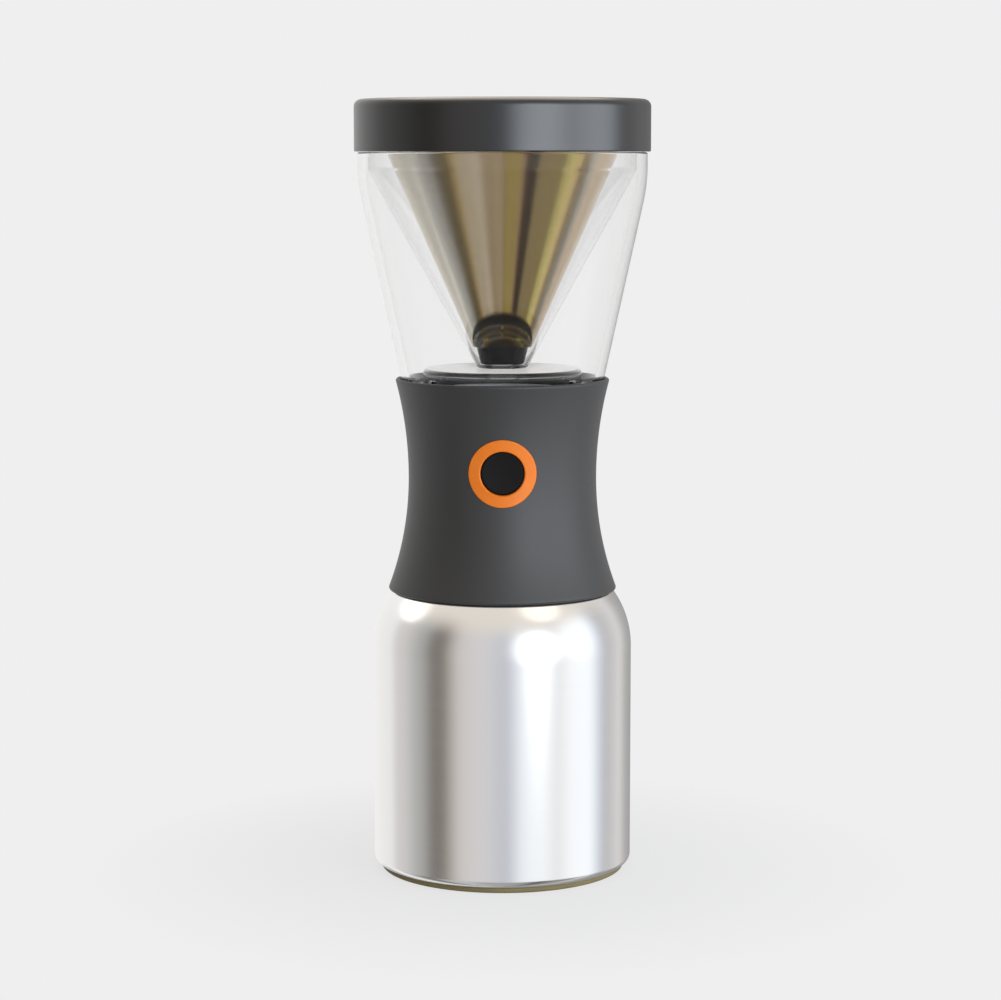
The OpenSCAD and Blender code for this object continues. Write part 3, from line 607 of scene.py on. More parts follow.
# Collar sleeve: the waisted grip, moulded in a dark soft-touch rubber over the core. Its
# wall is even and ends in a round lip above and below, with a round seat cut for the
# button's ring.
SLEEVE_T = 2.0
WAIST_R = 43.85
WAIST_UP = 52.98
RIM_R = 49.7
BUTTON_UP = 58.88
RING_R = 15.5
SEAT_GAP = 0.1
COLLAR_TINTS = ((0.017, 0.0162, 0.0155, 1), (0.024, 0.0228, 0.0218, 1))
COLLAR_DEPTH = 0.00003

foot_r, collar_foot, collar_top = reach("collar_sleeve")
waist_z = collar_foot + WAIST_UP
button_z = collar_foot + BUTTON_UP
half_t = SLEEVE_T / 2


def sweep_radius(run, bow):
    """Radius of an arc that bows by so much over a run from its middle."""
    return (run * run + bow * bow) / (2 * bow)


upper_r = sweep_radius(collar_top - half_t - waist_z, RIM_R - WAIST_R)
lower_r = sweep_radius(waist_z - collar_foot - half_t, foot_r - WAIST_R)


def waist_face(depth, steps=64):
    """The collar's curve from its foot to its rim, so far behind the outer face."""
    middle = WAIST_R - half_t
    out = half_t - depth
    return (arc((middle + lower_r, waist_z), lower_r - out, 180 + fall, 180, steps)
            + arc((middle + upper_r, waist_z), upper_r - out, 180, 180 - rise, steps)[1:])


fall = math.degrees(math.asin((waist_z - collar_foot - half_t) / lower_r))
rise = math.degrees(math.asin((collar_top - half_t - waist_z) / upper_r))
outer_face = waist_face(0)
inner_face = waist_face(SLEEVE_T)
top_lip = arc((RIM_R - half_t, collar_top - half_t), half_t, -rise, 180 - rise, 12)[1:-1]
foot_lip = arc((foot_r - half_t, collar_foot + half_t), half_t, 180 + fall, 360 + fall, 12)[1:-1]

collar_rubber = grained(
    "collar_soft_touch", {"Specular IOR Level": 0.6, "Sheen Weight": 0.1, "Sheen Roughness": 0.5},
    (3200,), (28, (1, 1, 0.6), 4.0), COLLAR_TINTS, (0.46, 0.1, 0.06), (COLLAR_DEPTH, 0.5))
collar = turned("collar", outer_face + top_lip + inner_face[::-1] + foot_lip)
at_button = (Matrix.Translation((0, 0, button_z * MM))
             @ Matrix.Rotation(math.pi / 2, 4, "X"))
seat_cut = turned("seat_cut", [(0, WAIST_R / 2), (RING_R + SEAT_GAP, WAIST_R / 2),
                               (RING_R + SEAT_GAP, foot_r), (0, foot_r)], 192, at_button)
cut(collar, seat_cut)
fitted(collar, collar_rubber, "brewer", "collar_rubber", "collar_sleeve")

# Ring round the button: bright orange plastic, glued in the collar's seat. Its face
# follows the collar's double curve a little proud of it, its outer edge is rounded and
# its bore is bevelled.
RING_PROUD = 0.5
RING_SEAT_Y = 39.6
RING_BORE_R = 10.05
RING_EDGE_R = 0.35
RING_BEVEL = 0.75
RING_TINTS = ((0.77, 0.175, 0.010, 1), (0.83, 0.215, 0.018, 1))
ROUND_STEPS = 6
FACE_STEPS = 6

ring_plastic = grained(
    "ring_orange_plastic",
    {"Specular IOR Level": 0.25, "Subsurface Weight": 0.1, "Subsurface Scale": 0.001},
    (2600,), (110, (1, 1, 1), 3.0), RING_TINTS, (0.36, 0.12), (MOULD_DEPTH, 0.35))


def ring_face(x, z):
    """Distance of the ring's face from the axis of the collar, straight out at x and z."""
    sweep = upper_r if z > waist_z else lower_r
    dip = math.sqrt((sweep - half_t - RING_PROUD) ** 2 - (z - waist_z) ** 2)
    out = WAIST_R - half_t + sweep - dip
    return math.sqrt(out * out - x * x)


def ring_on_collar(name, steps=192):
    """Rings of points from the seat, over the rounded edge and face, and down the bore."""
    face_from, face_to = RING_R - RING_EDGE_R, RING_BORE_R + RING_BEVEL
    quarter = [math.pi / 2 * i / ROUND_STEPS for i in range(ROUND_STEPS + 1)]
    stations = [(RING_R, None)]
    stations += [(face_from + RING_EDGE_R * math.cos(a), RING_EDGE_R * (1 - math.sin(a)))
                 for a in quarter]
    stations += [(face_from + (face_to - face_from) * i / FACE_STEPS, 0)
                 for i in range(1, FACE_STEPS + 1)]
    stations += [(RING_BORE_R + RING_BEVEL * (1 - math.sin(a)), RING_BEVEL * (1 - math.cos(a)))
                 for a in quarter[1:]]
    stations += [(RING_BORE_R, None)]
    shape = bmesh.new()
    rows = []
    for i in range(steps):
        angle = 2 * math.pi * i / steps
        row = []
        for radius, depth in stations:
            x, z = radius * math.cos(angle), button_z + radius * math.sin(angle)
            out = RING_SEAT_Y if depth is None else ring_face(x, z) - depth
            row.append(shape.verts.new((x * MM, -out * MM, z * MM)))
        rows.append(row)
    skinned(shape, rows)
    bmesh.ops.recalc_face_normals(shape, faces=shape.faces)
    return piece_from(name, shape)


orange_ring = ring_on_collar("orange_ring")
fitted(orange_ring, ring_plastic, "brewer", "orange_plastic", "button_ring")

# Push button: a black plastic cap with a softly rounded edge and a shallow dish for the
# finger. It sits just behind the ring's face, on the rod of the white slider.
BUTTON_R = 9.75
BUTTON_LEN = 6.5
BUTTON_WALL = 1.6
BUTTON_FACE_T = 2.0
BUTTON_EDGE_R = 0.5
BUTTON_DISH = 0.3
BUTTON_BORE_R = 3.55
BUTTON_HUB_R = 4.5
BUTTON_RIM = 0.8
BUTTON_PLASTIC = ((0.005, 0.0045, 0.0045, 1), (0.008, 0.0072, 0.0074, 1))

face_y = -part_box("button_cap")[0][1] / MM
back_y = face_y - BUTTON_LEN
dish_r = BUTTON_R - BUTTON_EDGE_R - BUTTON_RIM
dish_sweep = sweep_radius(dish_r, BUTTON_DISH)
dish_bend = math.degrees(math.asin(dish_r / dish_sweep))
inner_y = face_y - BUTTON_FACE_T - BUTTON_DISH

button_plastic = moulded("button_plastic", BUTTON_PLASTIC, 0.4, 0.1)
button = turned("button", [
    (BUTTON_BORE_R, inner_y), (BUTTON_BORE_R, back_y), (BUTTON_HUB_R, back_y),
    (BUTTON_HUB_R, inner_y), (BUTTON_R - BUTTON_WALL, inner_y),
    (BUTTON_R - BUTTON_WALL, back_y), (BUTTON_R, back_y)]
    + arc((BUTTON_R - BUTTON_EDGE_R, face_y - BUTTON_EDGE_R), BUTTON_EDGE_R, 0, 90, 10)
    + arc((0, face_y - BUTTON_DISH + dish_sweep), dish_sweep, -90 + dish_bend, -90, 16)
    + [(0, inner_y)], 128, at_button)
fitted(button, button_plastic, "button", "button_plastic", "button_cap")

# Brewing chamber: a clear thick-walled jar, moulded in one piece of crystal copolyester.
# Its wall runs straight under the lid and then tapers into the collar, and its floor has
# a gutter round a raised drain plate with slots at its foot.
CHAMBER_WALL = 4.0
CHAMBER_STRAIGHT = 6.0
CHAMBER_BEND_R = 80
CHAMBER_NECK_H = 10
NECK_OUT_R = 65.6
NECK_IN_R = 63.0
TUCK_R = 47.41
GUTTER_DROP = 1.9
FLOOR_T = 3.5
PLATE_R = 37
PLATE_RISE = 5.0
PLATE_WALL = 2.5
PLATE_EDGE_R = 2.2
PLATE_HOLE_R = 7.0
PLATE_SLOTS = 6
PLATE_SLOT_W = 5.0
PLATE_SLOT_H = 2.2
MOULD_EDGE_R = 0.6
CHAMBER_EDGE_R = 0.8
CHAMBER_RELIEF = 1.6
CHAMBER_TINT = (0.99, 0.99, 0.99, 1)
CHAMBER_EDGE_TINT = (0.76, 0.74, 0.73, 1)
CLEAR_GLOSS = (0.3, 0.3, 0.3, 1)
RIPPLE_DEPTH = 0.0002
FROST = (0.95, 0.95, 0.95, 1)
FROST_IN = 0.4
FROST_UP = 0.4
FROST_DOWN = 1.0

chamber_r, skirt_z, neck_top = reach("brewing_chamber")
chamber_shoulder = neck_top - CHAMBER_NECK_H
bend_z = chamber_shoulder - CHAMBER_STRAIGHT
bend_x = chamber_r - CHAMBER_BEND_R
tuck = (TUCK_R - bend_x, collar_top - bend_z)
taper = -math.degrees(math.atan2(tuck[1], tuck[0])
                      + math.acos(CHAMBER_BEND_R / math.hypot(tuck[0], tuck[1])))
gutter_z = collar_top - GUTTER_DROP
floor_z = gutter_z - FLOOR_T
plate_z = collar_top + PLATE_RISE


def chamber_side(depth, foot, top):
    """The chamber's side from foot to top, so far inside its outer face."""
    radius = CHAMBER_BEND_R - depth
    bend = arc((bend_x, bend_z), radius, -taper, 0, 20)
    start_r, start_z = bend[0]
    slope = math.tan(math.radians(taper))
    return [(start_r - (start_z - foot) * slope, foot)] + bend + [(chamber_r - depth, top)]


class Clear(Finish):
    """Clear plastic: it refracts what is behind it and lets lamp light straight in."""

    def __init__(self, name, tint, edge_tint, roughness, ior):
        super().__init__(name, {
            "Transmission Weight": 1.0, "IOR": ior, "Specular Tint": CLEAR_GLOSS})
        self.along = self.node("ShaderNodeLayerWeight", {}, {"Blend": 0.5}, "Facing")
        self.tint(self.along ** 3.0, tint, edge_tint)
        haze = self.speckle(55, (1, 1, 0.5), 4.0)
        ripple = self.speckle(16, (1, 1, 0.25), 1.0)
        self.feed("Roughness", haze ** 3.0 * roughness)
        self.relief(ripple, RIPPLE_DEPTH, 0.02)
        path = self.tree.nodes.new("ShaderNodeLightPath")
        shadow = Socket(self, path.outputs["Is Shadow Ray"])
        bounced = Socket(self, path.outputs["Is Diffuse Ray"])
        open_air = self.node("ShaderNodeBsdfTransparent", {}, {"Color": tint})
        self.through = shadow.math("MAXIMUM", shadow, bounced)
        self.show(self.node("ShaderNodeMixShader", {}, {
            0: self.through, 1: Socket(self, self.shader.outputs[0]), 2: open_air}))

    def show(self, surface):
        self.surface = surface
        self.tree.links.new(surface.link, self.tree.nodes["Material Output"].inputs["Surface"])

    def frosted(self, radius, foot, top):
        """A faint bloom, seen along the surface, inside a radius and between two heights."""
        own = self.place()
        level = self.node("ShaderNodeSeparateXYZ", {}, {"Vector": own}, 2)
        flat = self.node("ShaderNodeVectorMath", {"operation": "MULTIPLY"}, {0: own, 1: (1, 1, 0)})
        out = self.node("ShaderNodeVectorMath", {"operation": "LENGTH"}, {0: flat}, "Value")
        inside = (out.math("LESS_THAN", out, radius * MM)
                  * level.math("LESS_THAN", level, top * MM)
                  * level.math("GREATER_THAN", level, foot * MM))
        frost = self.node("ShaderNodeBsdfDiffuse", {}, {"Color": FROST})
        bloom = inside * self.along ** 5.0 * (1.0 + 0.1 * self.speckle(1400))
        amount = bloom * (1 - self.through)
        self.show(self.node("ShaderNodeMixShader", {}, {0: amount, 1: self.surface, 2: frost}))


clear_chamber = Clear("chamber_clear_plastic", CHAMBER_TINT, CHAMBER_EDGE_TINT, 0.05, 1.52)
clear_chamber.frosted(PLATE_R + FROST_IN, plate_z - FROST_DOWN, plate_z + FROST_UP)
chamber_inside = chamber_side(CHAMBER_WALL, gutter_z, chamber_shoulder - CHAMBER_RELIEF)
chamber_outline = (
    [(chamber_side(CHAMBER_WALL, skirt_z, 0)[0][0], skirt_z)]
    + chamber_side(0, skirt_z, chamber_shoulder)[:-1]
    + rounded([
        (chamber_r, bend_z, 0), (chamber_r, chamber_shoulder, CHAMBER_EDGE_R),
        (NECK_OUT_R, chamber_shoulder, 0)])[1:]
    + rounded([
        (NECK_OUT_R, chamber_shoulder, 0), (NECK_OUT_R, neck_top, MOULD_EDGE_R),
        (NECK_IN_R, neck_top, MOULD_EDGE_R), (NECK_IN_R, bend_z, 0)])[1:-1]
    + chamber_inside[::-1]
    + rounded([
        (chamber_inside[0][0], gutter_z, 0), (PLATE_R, gutter_z, 0),
        (PLATE_R, plate_z, PLATE_EDGE_R), (PLATE_HOLE_R, plate_z, MOULD_EDGE_R),
        (PLATE_HOLE_R, plate_z - PLATE_WALL, MOULD_EDGE_R),
        (PLATE_R - PLATE_WALL, plate_z - PLATE_WALL, 0), (PLATE_R - PLATE_WALL, floor_z, 0)])[1:]
    + [(chamber_side(CHAMBER_WALL, floor_z, 0)[0][0], floor_z)])
chamber = turned("chamber", chamber_outline, LARGE_STEPS)

slots = Plan("slots", {
    "Count": "NodeSocketInt", "Radius": "NodeSocketFloat", "Height": "NodeSocketFloat",
    "Size": "NodeSocketVector", "Turn": "NodeSocketVector"}, clear_chamber)
slot_ring = slots.node("GeometryNodeMeshCircle", {}, {
    "Vertices": slots.size("Count"), "Radius": slots.size("Radius")})
slot_lift = slots.node("ShaderNodeCombineXYZ", {}, {"Z": slots.size("Height")})
slot_places = slots.node("GeometryNodeTransform", {}, {
    "Geometry": slot_ring, "Translation": slot_lift, "Rotation": slots.size("Turn")})
slot_block = slots.node("GeometryNodeMeshCube", {}, {"Size": slots.size("Size")})
spoke = slots.node("GeometryNodeInputPosition", {}, {})
around = slots.node("FunctionNodeAlignRotationToVector", {"axis": "X", "pivot_axis": "Z"},
                    {"Vector": spoke})
slots.close(slots.node("GeometryNodeInstanceOnPoints", {}, {
    "Points": slot_places, "Instance": slot_block, "Rotation": around}))
plate_slots = slots.make("plate_slots", {
    "Count": PLATE_SLOTS, "Radius": (PLATE_R - PLATE_WALL / 2) * MM,
    "Height": (gutter_z + PLATE_SLOT_H / 2) * MM, "Turn": (0, 0, math.pi / PLATE_SLOTS),
    "Size": ((PLATE_WALL + 1) * MM, PLATE_SLOT_W * MM, PLATE_SLOT_H * MM)})
cut(chamber, plate_slots)
fitted(chamber, clear_chamber, "brewer", "clear_chamber", "brewing_chamber")

# Drip funnel: a thin clear cone that hangs from the chamber's neck and catches the brew
# that drips through the mesh. Notches in its flange let the air out, and its foot has a
# drain hole.
FUNNEL_BAND = 18.0
FUNNEL_WALL = 1.6
FUNNEL_FOOT_R = 11.6
FUNNEL_HOLE_R = 5.0
FUNNEL_R = 62.0
FUNNEL_FLANGE_T = 2.0
FUNNEL_NOTCHES = 6
FUNNEL_NOTCH_W = 8.0
FUNNEL_NOTCH_IN = 3.1
FUNNEL_NOTCH_DEPTH = 6.0
FUNNEL_BEND_R = 3.0
FUNNEL_FOOT_EDGE_R = 1.1
FUNNEL_HOLE_EDGE_R = 0.4
FUNNEL_FLANGE_EDGE_R = 0.3
FUNNEL_LIP_R = 0.5
FUNNEL_TINT = (0.985, 0.985, 0.985, 1)
FUNNEL_EDGE_TINT = (0.86, 0.85, 0.84, 1)

flange_r, funnel_foot, funnel_top = reach("drip_funnel")
cone_end = neck_top - FUNNEL_BAND
funnel_slope = (FUNNEL_R - FUNNEL_FOOT_R) / (cone_end - funnel_foot)
funnel_side = FUNNEL_WALL * math.hypot(1, funnel_slope)
inner_foot = funnel_foot + FUNNEL_WALL
flange_z = funnel_top - FUNNEL_FLANGE_T
clear_funnel = Clear("funnel_clear_plastic", FUNNEL_TINT, FUNNEL_EDGE_TINT, 0.06, 1.5)
funnel = turned("funnel", rounded([
    (FUNNEL_HOLE_R, funnel_foot, FUNNEL_HOLE_EDGE_R),
    (FUNNEL_FOOT_R, funnel_foot, FUNNEL_FOOT_EDGE_R), (FUNNEL_R, cone_end, FUNNEL_BEND_R),
    (FUNNEL_R, flange_z, 0), (flange_r, flange_z, FUNNEL_FLANGE_EDGE_R),
    (flange_r, funnel_top, FUNNEL_LIP_R), (FUNNEL_R - FUNNEL_WALL, funnel_top, FUNNEL_LIP_R),
    (FUNNEL_R - FUNNEL_WALL, cone_end + (funnel_side - FUNNEL_WALL) / funnel_slope, FUNNEL_BEND_R),
    (FUNNEL_FOOT_R + FUNNEL_WALL * funnel_slope - funnel_side, inner_foot, MOULD_EDGE_R),
    (FUNNEL_HOLE_R, inner_foot, FUNNEL_HOLE_EDGE_R)]), LARGE_STEPS)
notches = slots.make("notches", {
    "Count": FUNNEL_NOTCHES, "Radius": (FUNNEL_R + FUNNEL_NOTCH_IN) * MM,
    "Height": (funnel_top - FUNNEL_FLANGE_T / 2) * MM, "Turn": (0, 0, 0),
    "Size": (FUNNEL_NOTCH_DEPTH * MM, FUNNEL_NOTCH_W * MM, (FUNNEL_FLANGE_T + 2) * MM)})
cut(funnel, notches)
fitted(funnel, clear_funnel, "funnel", "clear_funnel", "drip_funnel")

# Filter cone: a fine woven mesh with a warm gold plating, rolled into a cone from a flat
# sheet and spread into a flange at its top. The weave runs along the unrolled sheet. Long
# bands of lilac, paler, darker and yellower gold round it are painted reflections.
CONE_TIP_R = 14.0
CONE_TOP_R = 60.0
MESH_T = 0.6
CONE_FLANGE_R = 63.1
WEAVE = 0.00045
WIRE_DEPTH = 0.00002
GOLD = (0.59, 0.50, 0.318)
WORN = (0.84, 0.83, 0.80, 1)
WHITE = (1.0, 1.0, 1.0, 1)

# Tints of the painted reflections on the gold, each by its angle from the middle of the front,
# positive to the right.
PAINTED_REFLECTIONS = [
    (-90, (1.0, 0.93, 0.88)), (-68, (0.95, 1.0, 1.2)), (-57, (0.92, 1.03, 1.36)),
    (-44.6, (0.9, 1.02, 1.45)), (-36.3, (0.94, 1.0, 1.3)), (-32.5, (1.0, 0.9, 0.7)),
    (-29.3, (1.0, 0.80, 0.42)), (-25.9, (1.0, 0.84, 0.5)), (-21.7, (1.0, 0.95, 0.95)),
    (-13.5, (1.0, 0.98, 1.1)), (-7.7, (1.0, 0.88, 0.80)), (0.7, (1.0, 0.88, 0.72)),
    (1.7, (1.0, 0.86, 0.36)), (8, (1.0, 0.86, 0.34)), (9.8, (1.0, 0.80, 0.52)),
    (11.3, (1.0, 0.70, 0.46)), (15, (1.0, 0.72, 0.48)), (16.9, (1.0, 0.86, 0.58)),
    (28, (1.0, 0.86, 0.48)), (31.6, (1.0, 0.97, 0.5)), (36.8, (1.0, 0.97, 0.54)),
    (40.3, (1.0, 0.86, 0.5)), (45.7, (1.0, 0.88, 0.62)), (50, (0.94, 1.0, 1.3)),
    (55.6, (1.0, 0.94, 1.0)), (75.6, (1.0, 0.9, 0.86))]

cone_foot, mesh_top = reach("filter_cone")[1:]
cone_slope = (CONE_TOP_R - CONE_TIP_R) / (mesh_top - MESH_T - cone_foot)
mesh_side = MESH_T * math.hypot(1, cone_slope)


def unrolled(piece, half_angle):
    """Adds the map of the flat sheet, in metres, that the cone was rolled from."""
    chart = piece.data.uv_layers.new(name="sheet")
    for face in piece.data.polygons:
        middle = math.atan2(face.center.x, face.center.y)
        for loop in face.loop_indices:
            point = piece.data.vertices[piece.data.loops[loop].vertex_index].co
            angle = math.atan2(point.x, point.y)
            if abs(angle - middle) > math.pi:
                angle += math.copysign(2 * math.pi, middle)
            slant = math.hypot(point.x, point.y) / math.sin(half_angle)
            spread = angle * math.sin(half_angle)
            chart.data[loop].uv = (slant * math.sin(spread), slant * math.cos(spread))


gold_mesh = Finish("filter_gold_mesh", {"Metallic": 1.0})
sheet = gold_mesh.node("ShaderNodeUVMap", {"uv_map": "sheet"}, {})
across_sheet = gold_mesh.node("ShaderNodeSeparateXYZ", {}, {"Vector": sheet}, 0)
along_sheet = gold_mesh.node("ShaderNodeSeparateXYZ", {}, {"Vector": sheet}, 1)
warp = across_sheet.math("SINE", across_sheet * (2 * math.pi / WEAVE))
weft = along_sheet.math("SINE", along_sheet * (2 * math.pi / WEAVE))
weave = warp * weft
own_x = gold_mesh.node("ShaderNodeSeparateXYZ", {}, {"Vector": gold_mesh.place()}, 0)
own_y = gold_mesh.node("ShaderNodeSeparateXYZ", {}, {"Vector": gold_mesh.place()}, 1)
around_cone = own_x.math("ARCTAN2", own_x, own_y)
draw_marks = gold_mesh.node("ShaderNodeTexNoise", {"noise_dimensions": "1D"}, {
    "W": around_cone, "Scale": 4.0, "Detail": 3.0}, "Fac")
cloud = gold_mesh.speckle(24, (1, 1, 0.3), 3.0)
across = 0.5 + 0.5 * around_cone.math("SINE", around_cone)
# Painted reflections: bands of tint round the cone, fixed to it, that multiply the gold.
painted_reflection_bands = gold_mesh.ramp(across, [
    (0.5 + 0.5 * math.sin(math.radians(angle)), (*(g * t for g, t in zip(GOLD, tint)), 1))
    for angle, tint in PAINTED_REFLECTIONS])
wear = gold_mesh.ramp(draw_marks * 0.7 + cloud * 0.3, [(0.3, WORN), (0.7, WHITE)])
gold_mesh.tint(1.0, painted_reflection_bands, wear, "MULTIPLY")
gold_mesh.feed("Roughness", 0.03 + cloud * 0.03 + weave * 0.01)
gold_mesh.relief(weave, WIRE_DEPTH, 0.06)

cone = turned("cone", [
    (CONE_TIP_R - mesh_side, cone_foot), (CONE_TIP_R, cone_foot), (CONE_TOP_R, mesh_top - MESH_T),
    (CONE_FLANGE_R, mesh_top - MESH_T), (CONE_FLANGE_R, mesh_top),
    (CONE_TOP_R + MESH_T * cone_slope - mesh_side, mesh_top)], LARGE_STEPS)
unrolled(cone, math.atan(cone_slope))
fitted(cone, gold_mesh, "filter", "gold_mesh", "filter_cone")

# Rim ring and tip cap of the filter: black mouldings. The ring stiffens the top of the
# mesh and hangs it on the funnel, and the cap plugs and guards the cone's tip.
RIM_BORE_R = 61.0
UPSTAND_R = 63.2
RIM_H = 2.2
TIP_TOP_R = 12.15
TIP_FOOT_R = 10.1
TIP_PLUG_H = 2.7
RIM_EDGE_R = 0.3
RIM_TOP_EDGE_R = 0.5
TIP_EDGE_R = 0.7
BLACK_PLASTIC = ((0.005, 0.0045, 0.0045, 1), (0.009, 0.0082, 0.008, 1))

black_plastic = moulded("black_plastic", BLACK_PLASTIC, 0.16, 0.2)
rim_r, rim_foot, rim_top = reach("filter_rim")
rim_ring = turned("rim_ring", rounded([
    (RIM_BORE_R, rim_foot, RIM_EDGE_R), (rim_r, rim_foot, RIM_EDGE_R),
    (rim_r, rim_top, RIM_TOP_EDGE_R), (UPSTAND_R, rim_top, RIM_TOP_EDGE_R),
    (UPSTAND_R, rim_foot + RIM_H, 0), (RIM_BORE_R, rim_foot + RIM_H, RIM_EDGE_R)]))
fitted(rim_ring, black_plastic, "filter", "black_plastic", "filter_rim")

tip_foot, tip_top = reach("filter_tip_cap")[1:]
plug_r = CONE_TIP_R - mesh_side - SEAT_GAP
tip_cap = turned("tip_cap", rounded([
    (0, tip_foot, 0), (TIP_FOOT_R, tip_foot, TIP_EDGE_R), (TIP_TOP_R, cone_foot, RIM_EDGE_R),
    (plug_r, cone_foot, 0), (plug_r + TIP_PLUG_H * cone_slope, tip_top, 0),
    (0, tip_top, 0)]), 192)
fitted(tip_cap, black_plastic, "filter", "black_plastic", "filter_tip_cap")

# Lid: a deep cap moulded in satin black plastic, with a soft top edge and twelve ribs
# that stiffen it inside. A grey silicone ring under its roof seals the chamber's neck.
LID_WALL = 2.4
LID_TOP_T = 2.6
LID_EDGE_R = 3.5
LID_RIBS = 12
LID_RIB_T = 1.6
LID_RIB_ROOT = 0.4
LIP_R = (61.1, 62.9)
LIP_GAP = 0.1
LIP_EDGE_R = 0.2
LID_FOOT_EDGE_R = 0.6
LID_BORE_EDGE_R = 0.5
LID_CORNER_R = 0.8
LID_TINTS = ((0.0075, 0.007, 0.007, 1), (0.012, 0.0112, 0.011, 1))
LID_DEPTH = 0.00003

lid_r, lid_foot, lid_top = reach("lid_cap")
seal_foot, seal_top = reach("lid_seal")[1:]
seal_r = LIP_R[1] - LIP_GAP
rib_foot = rim_top + seal_top - seal_foot
lid_roof = lid_top - LID_TOP_T
lid_bore_r = lid_r - LID_WALL

lid_plastic = grained(
    "lid_satin_plastic", {"Specular IOR Level": 0.6}, (2200, (1, 1, 1), 3.0), (22, (1, 1, 2), 3.0),
    LID_TINTS, (0.26, 0.08, 0.04), (LID_DEPTH, 0.35))
lid = turned("lid", rounded([
    (lid_bore_r, lid_foot, LID_BORE_EDGE_R), (lid_r, lid_foot, LID_FOOT_EDGE_R),
    (lid_r, lid_top, LID_EDGE_R), (0, lid_top, 0), (0, lid_roof, 0), (LIP_R[0], lid_roof, 0),
    (LIP_R[0], seal_top, LIP_EDGE_R), (seal_r, seal_top, LIP_EDGE_R), (seal_r, lid_roof, 0),
    (lid_bore_r, lid_roof, LID_CORNER_R)]), LARGE_STEPS)
fitted(lid, lid_plastic, "lid", "lid_plastic", "lid_cap")

ribs = slots.make("lid_ribs", {
    "Count": LID_RIBS, "Radius": (LIP_R[1] + lid_bore_r) / 2 * MM,
    "Height": (rib_foot + lid_roof) / 2 * MM, "Turn": (0, 0, 0),
    "Size": ((lid_bore_r - LIP_R[1] + LID_RIB_ROOT) * MM, LID_RIB_T * MM,
             (lid_roof - rib_foot + LID_RIB_ROOT) * MM)})
fitted(ribs, lid_plastic, "lid", "lid_plastic", "lid_cap")
coated(grey_silicone, "lid_seal")

# Studio: a plain pale floor that keeps the maker's own shadow, in a pale room. Gloss and
# metal mirror soft bands on the room's walls, from dark to light round the maker, for the
# steel's streaks, and grey ones below for the mesh cone's, whose hues are painted on it.
PALE = 0.863
FLOOR_R = 9.0
FLOOR_MATT = (0.8, 0.8, 0.8, 1)
SHADOW_FROM = 0.07
SHADOW_TO = 0.2
SHADOW_SHOWS = 0.8
ROOM_GREY = (0.46, 0.46, 0.46, 1)
NEUTRAL = (1.0, 1.0, 1.0)
LOW_EDGE = (-0.5, -0.38)
CEILING_EDGE = (0.3, 0.75)
CEILING_TINT = (0.92, 0.86, 0.78, 1)

# Each band is a bearing round the maker, 0 towards the camera and 90 to the right, with its
# brightness and, on the walls, its tint.
WALL_BANDS = [
    (-180, 1.03, (1.0, 1.0, 1.0)), (-150, 1.05, (1.0, 1.0, 0.99)), (-131, 1.03, (1.0, 1.0, 1.0)),
    (-116, 1.05, (1.0, 0.99, 0.98)), (-111, 0.78, (1.0, 0.97, 0.97)),
    (-94, 0.74, (1.0, 0.97, 0.96)), (-88, 0.60, (0.99, 1.0, 0.98)), (-72, 0.44, (0.99, 0.99, 0.96)),
    (-66, 0.22, (1.0, 0.90, 0.82)), (-54, 0.21, (1.0, 0.90, 0.80)), (-48, 0.48, (1.0, 0.92, 0.85)),
    (-38, 0.78, (1.0, 0.95, 0.92)), (-15, 0.80, (1.0, 0.98, 1.0)), (-6, 0.76, (0.94, 0.97, 1.02)),
    (4, 0.63, (0.92, 0.95, 1.05)), (10, 0.88, (0.91, 0.96, 1.05)), (17, 1.16, (0.93, 0.98, 1.03)),
    (38, 1.2, (0.96, 0.99, 1.02)), (50, 0.96, (0.97, 0.99, 1.01)), (62, 1.24, (0.96, 0.99, 1.02)),
    (86, 1.32, (0.95, 0.99, 1.03)), (93, 1.0, (0.86, 0.94, 1.06)), (102, 0.60, (0.96, 0.96, 1.02)),
    (112, 0.66, (1.0, 0.98, 0.98)), (128, 0.88, (1.0, 0.98, 0.98)), (142, 0.52, (1.0, 0.97, 0.94)),
    (160, 0.42, (0.97, 0.97, 1.0))]
LOW_BANDS = [
    (-180, 0.36), (-163, 0.34), (-150, 0.62), (-141, 0.4), (-131, 1.1), (-117, 1.2), (-108, 0.72),
    (-92, 0.5), (-84, 0.26), (-77, 0.17), (-69, 0.2), (-59, 0.52), (-44, 0.66), (-32, 0.66),
    (-22, 0.46), (2, 0.45), (5, 0.45), (23, 0.45), (28, 0.3), (32, 0.07), (42, 0.07), (47, 0.34),
    (74, 0.34), (82, 0.76), (93, 0.86), (100, 0.36), (110, 0.3), (118, 0.52), (128, 0.34),
    (144, 0.33), (162, 0.34)]


def ray_of(nodes, kind):
    return nodes.node("ShaderNodeLightPath", {}, {}, "Is " + kind + " Ray")


def bands(nodes, bearing, stops):
    """The bands of the room as a colour over the bearing."""
    turn = nodes.node("ShaderNodeMapRange", {}, {
        "Value": bearing, "From Min": -math.pi, "From Max": math.pi})
    return nodes.ramp(turn, [((angle + 180) / 360, (*(level * part for part in tint), 1))
                             for angle, level, tint in stops])


def risen(nodes, height, edge):
    """0 below an edge of two heights, 1 above it, and smooth between."""
    inputs = {"Value": height, "From Min": edge[0], "From Max": edge[1]}
    return nodes.node("ShaderNodeMapRange", {"interpolation_type": "SMOOTHSTEP"}, inputs)


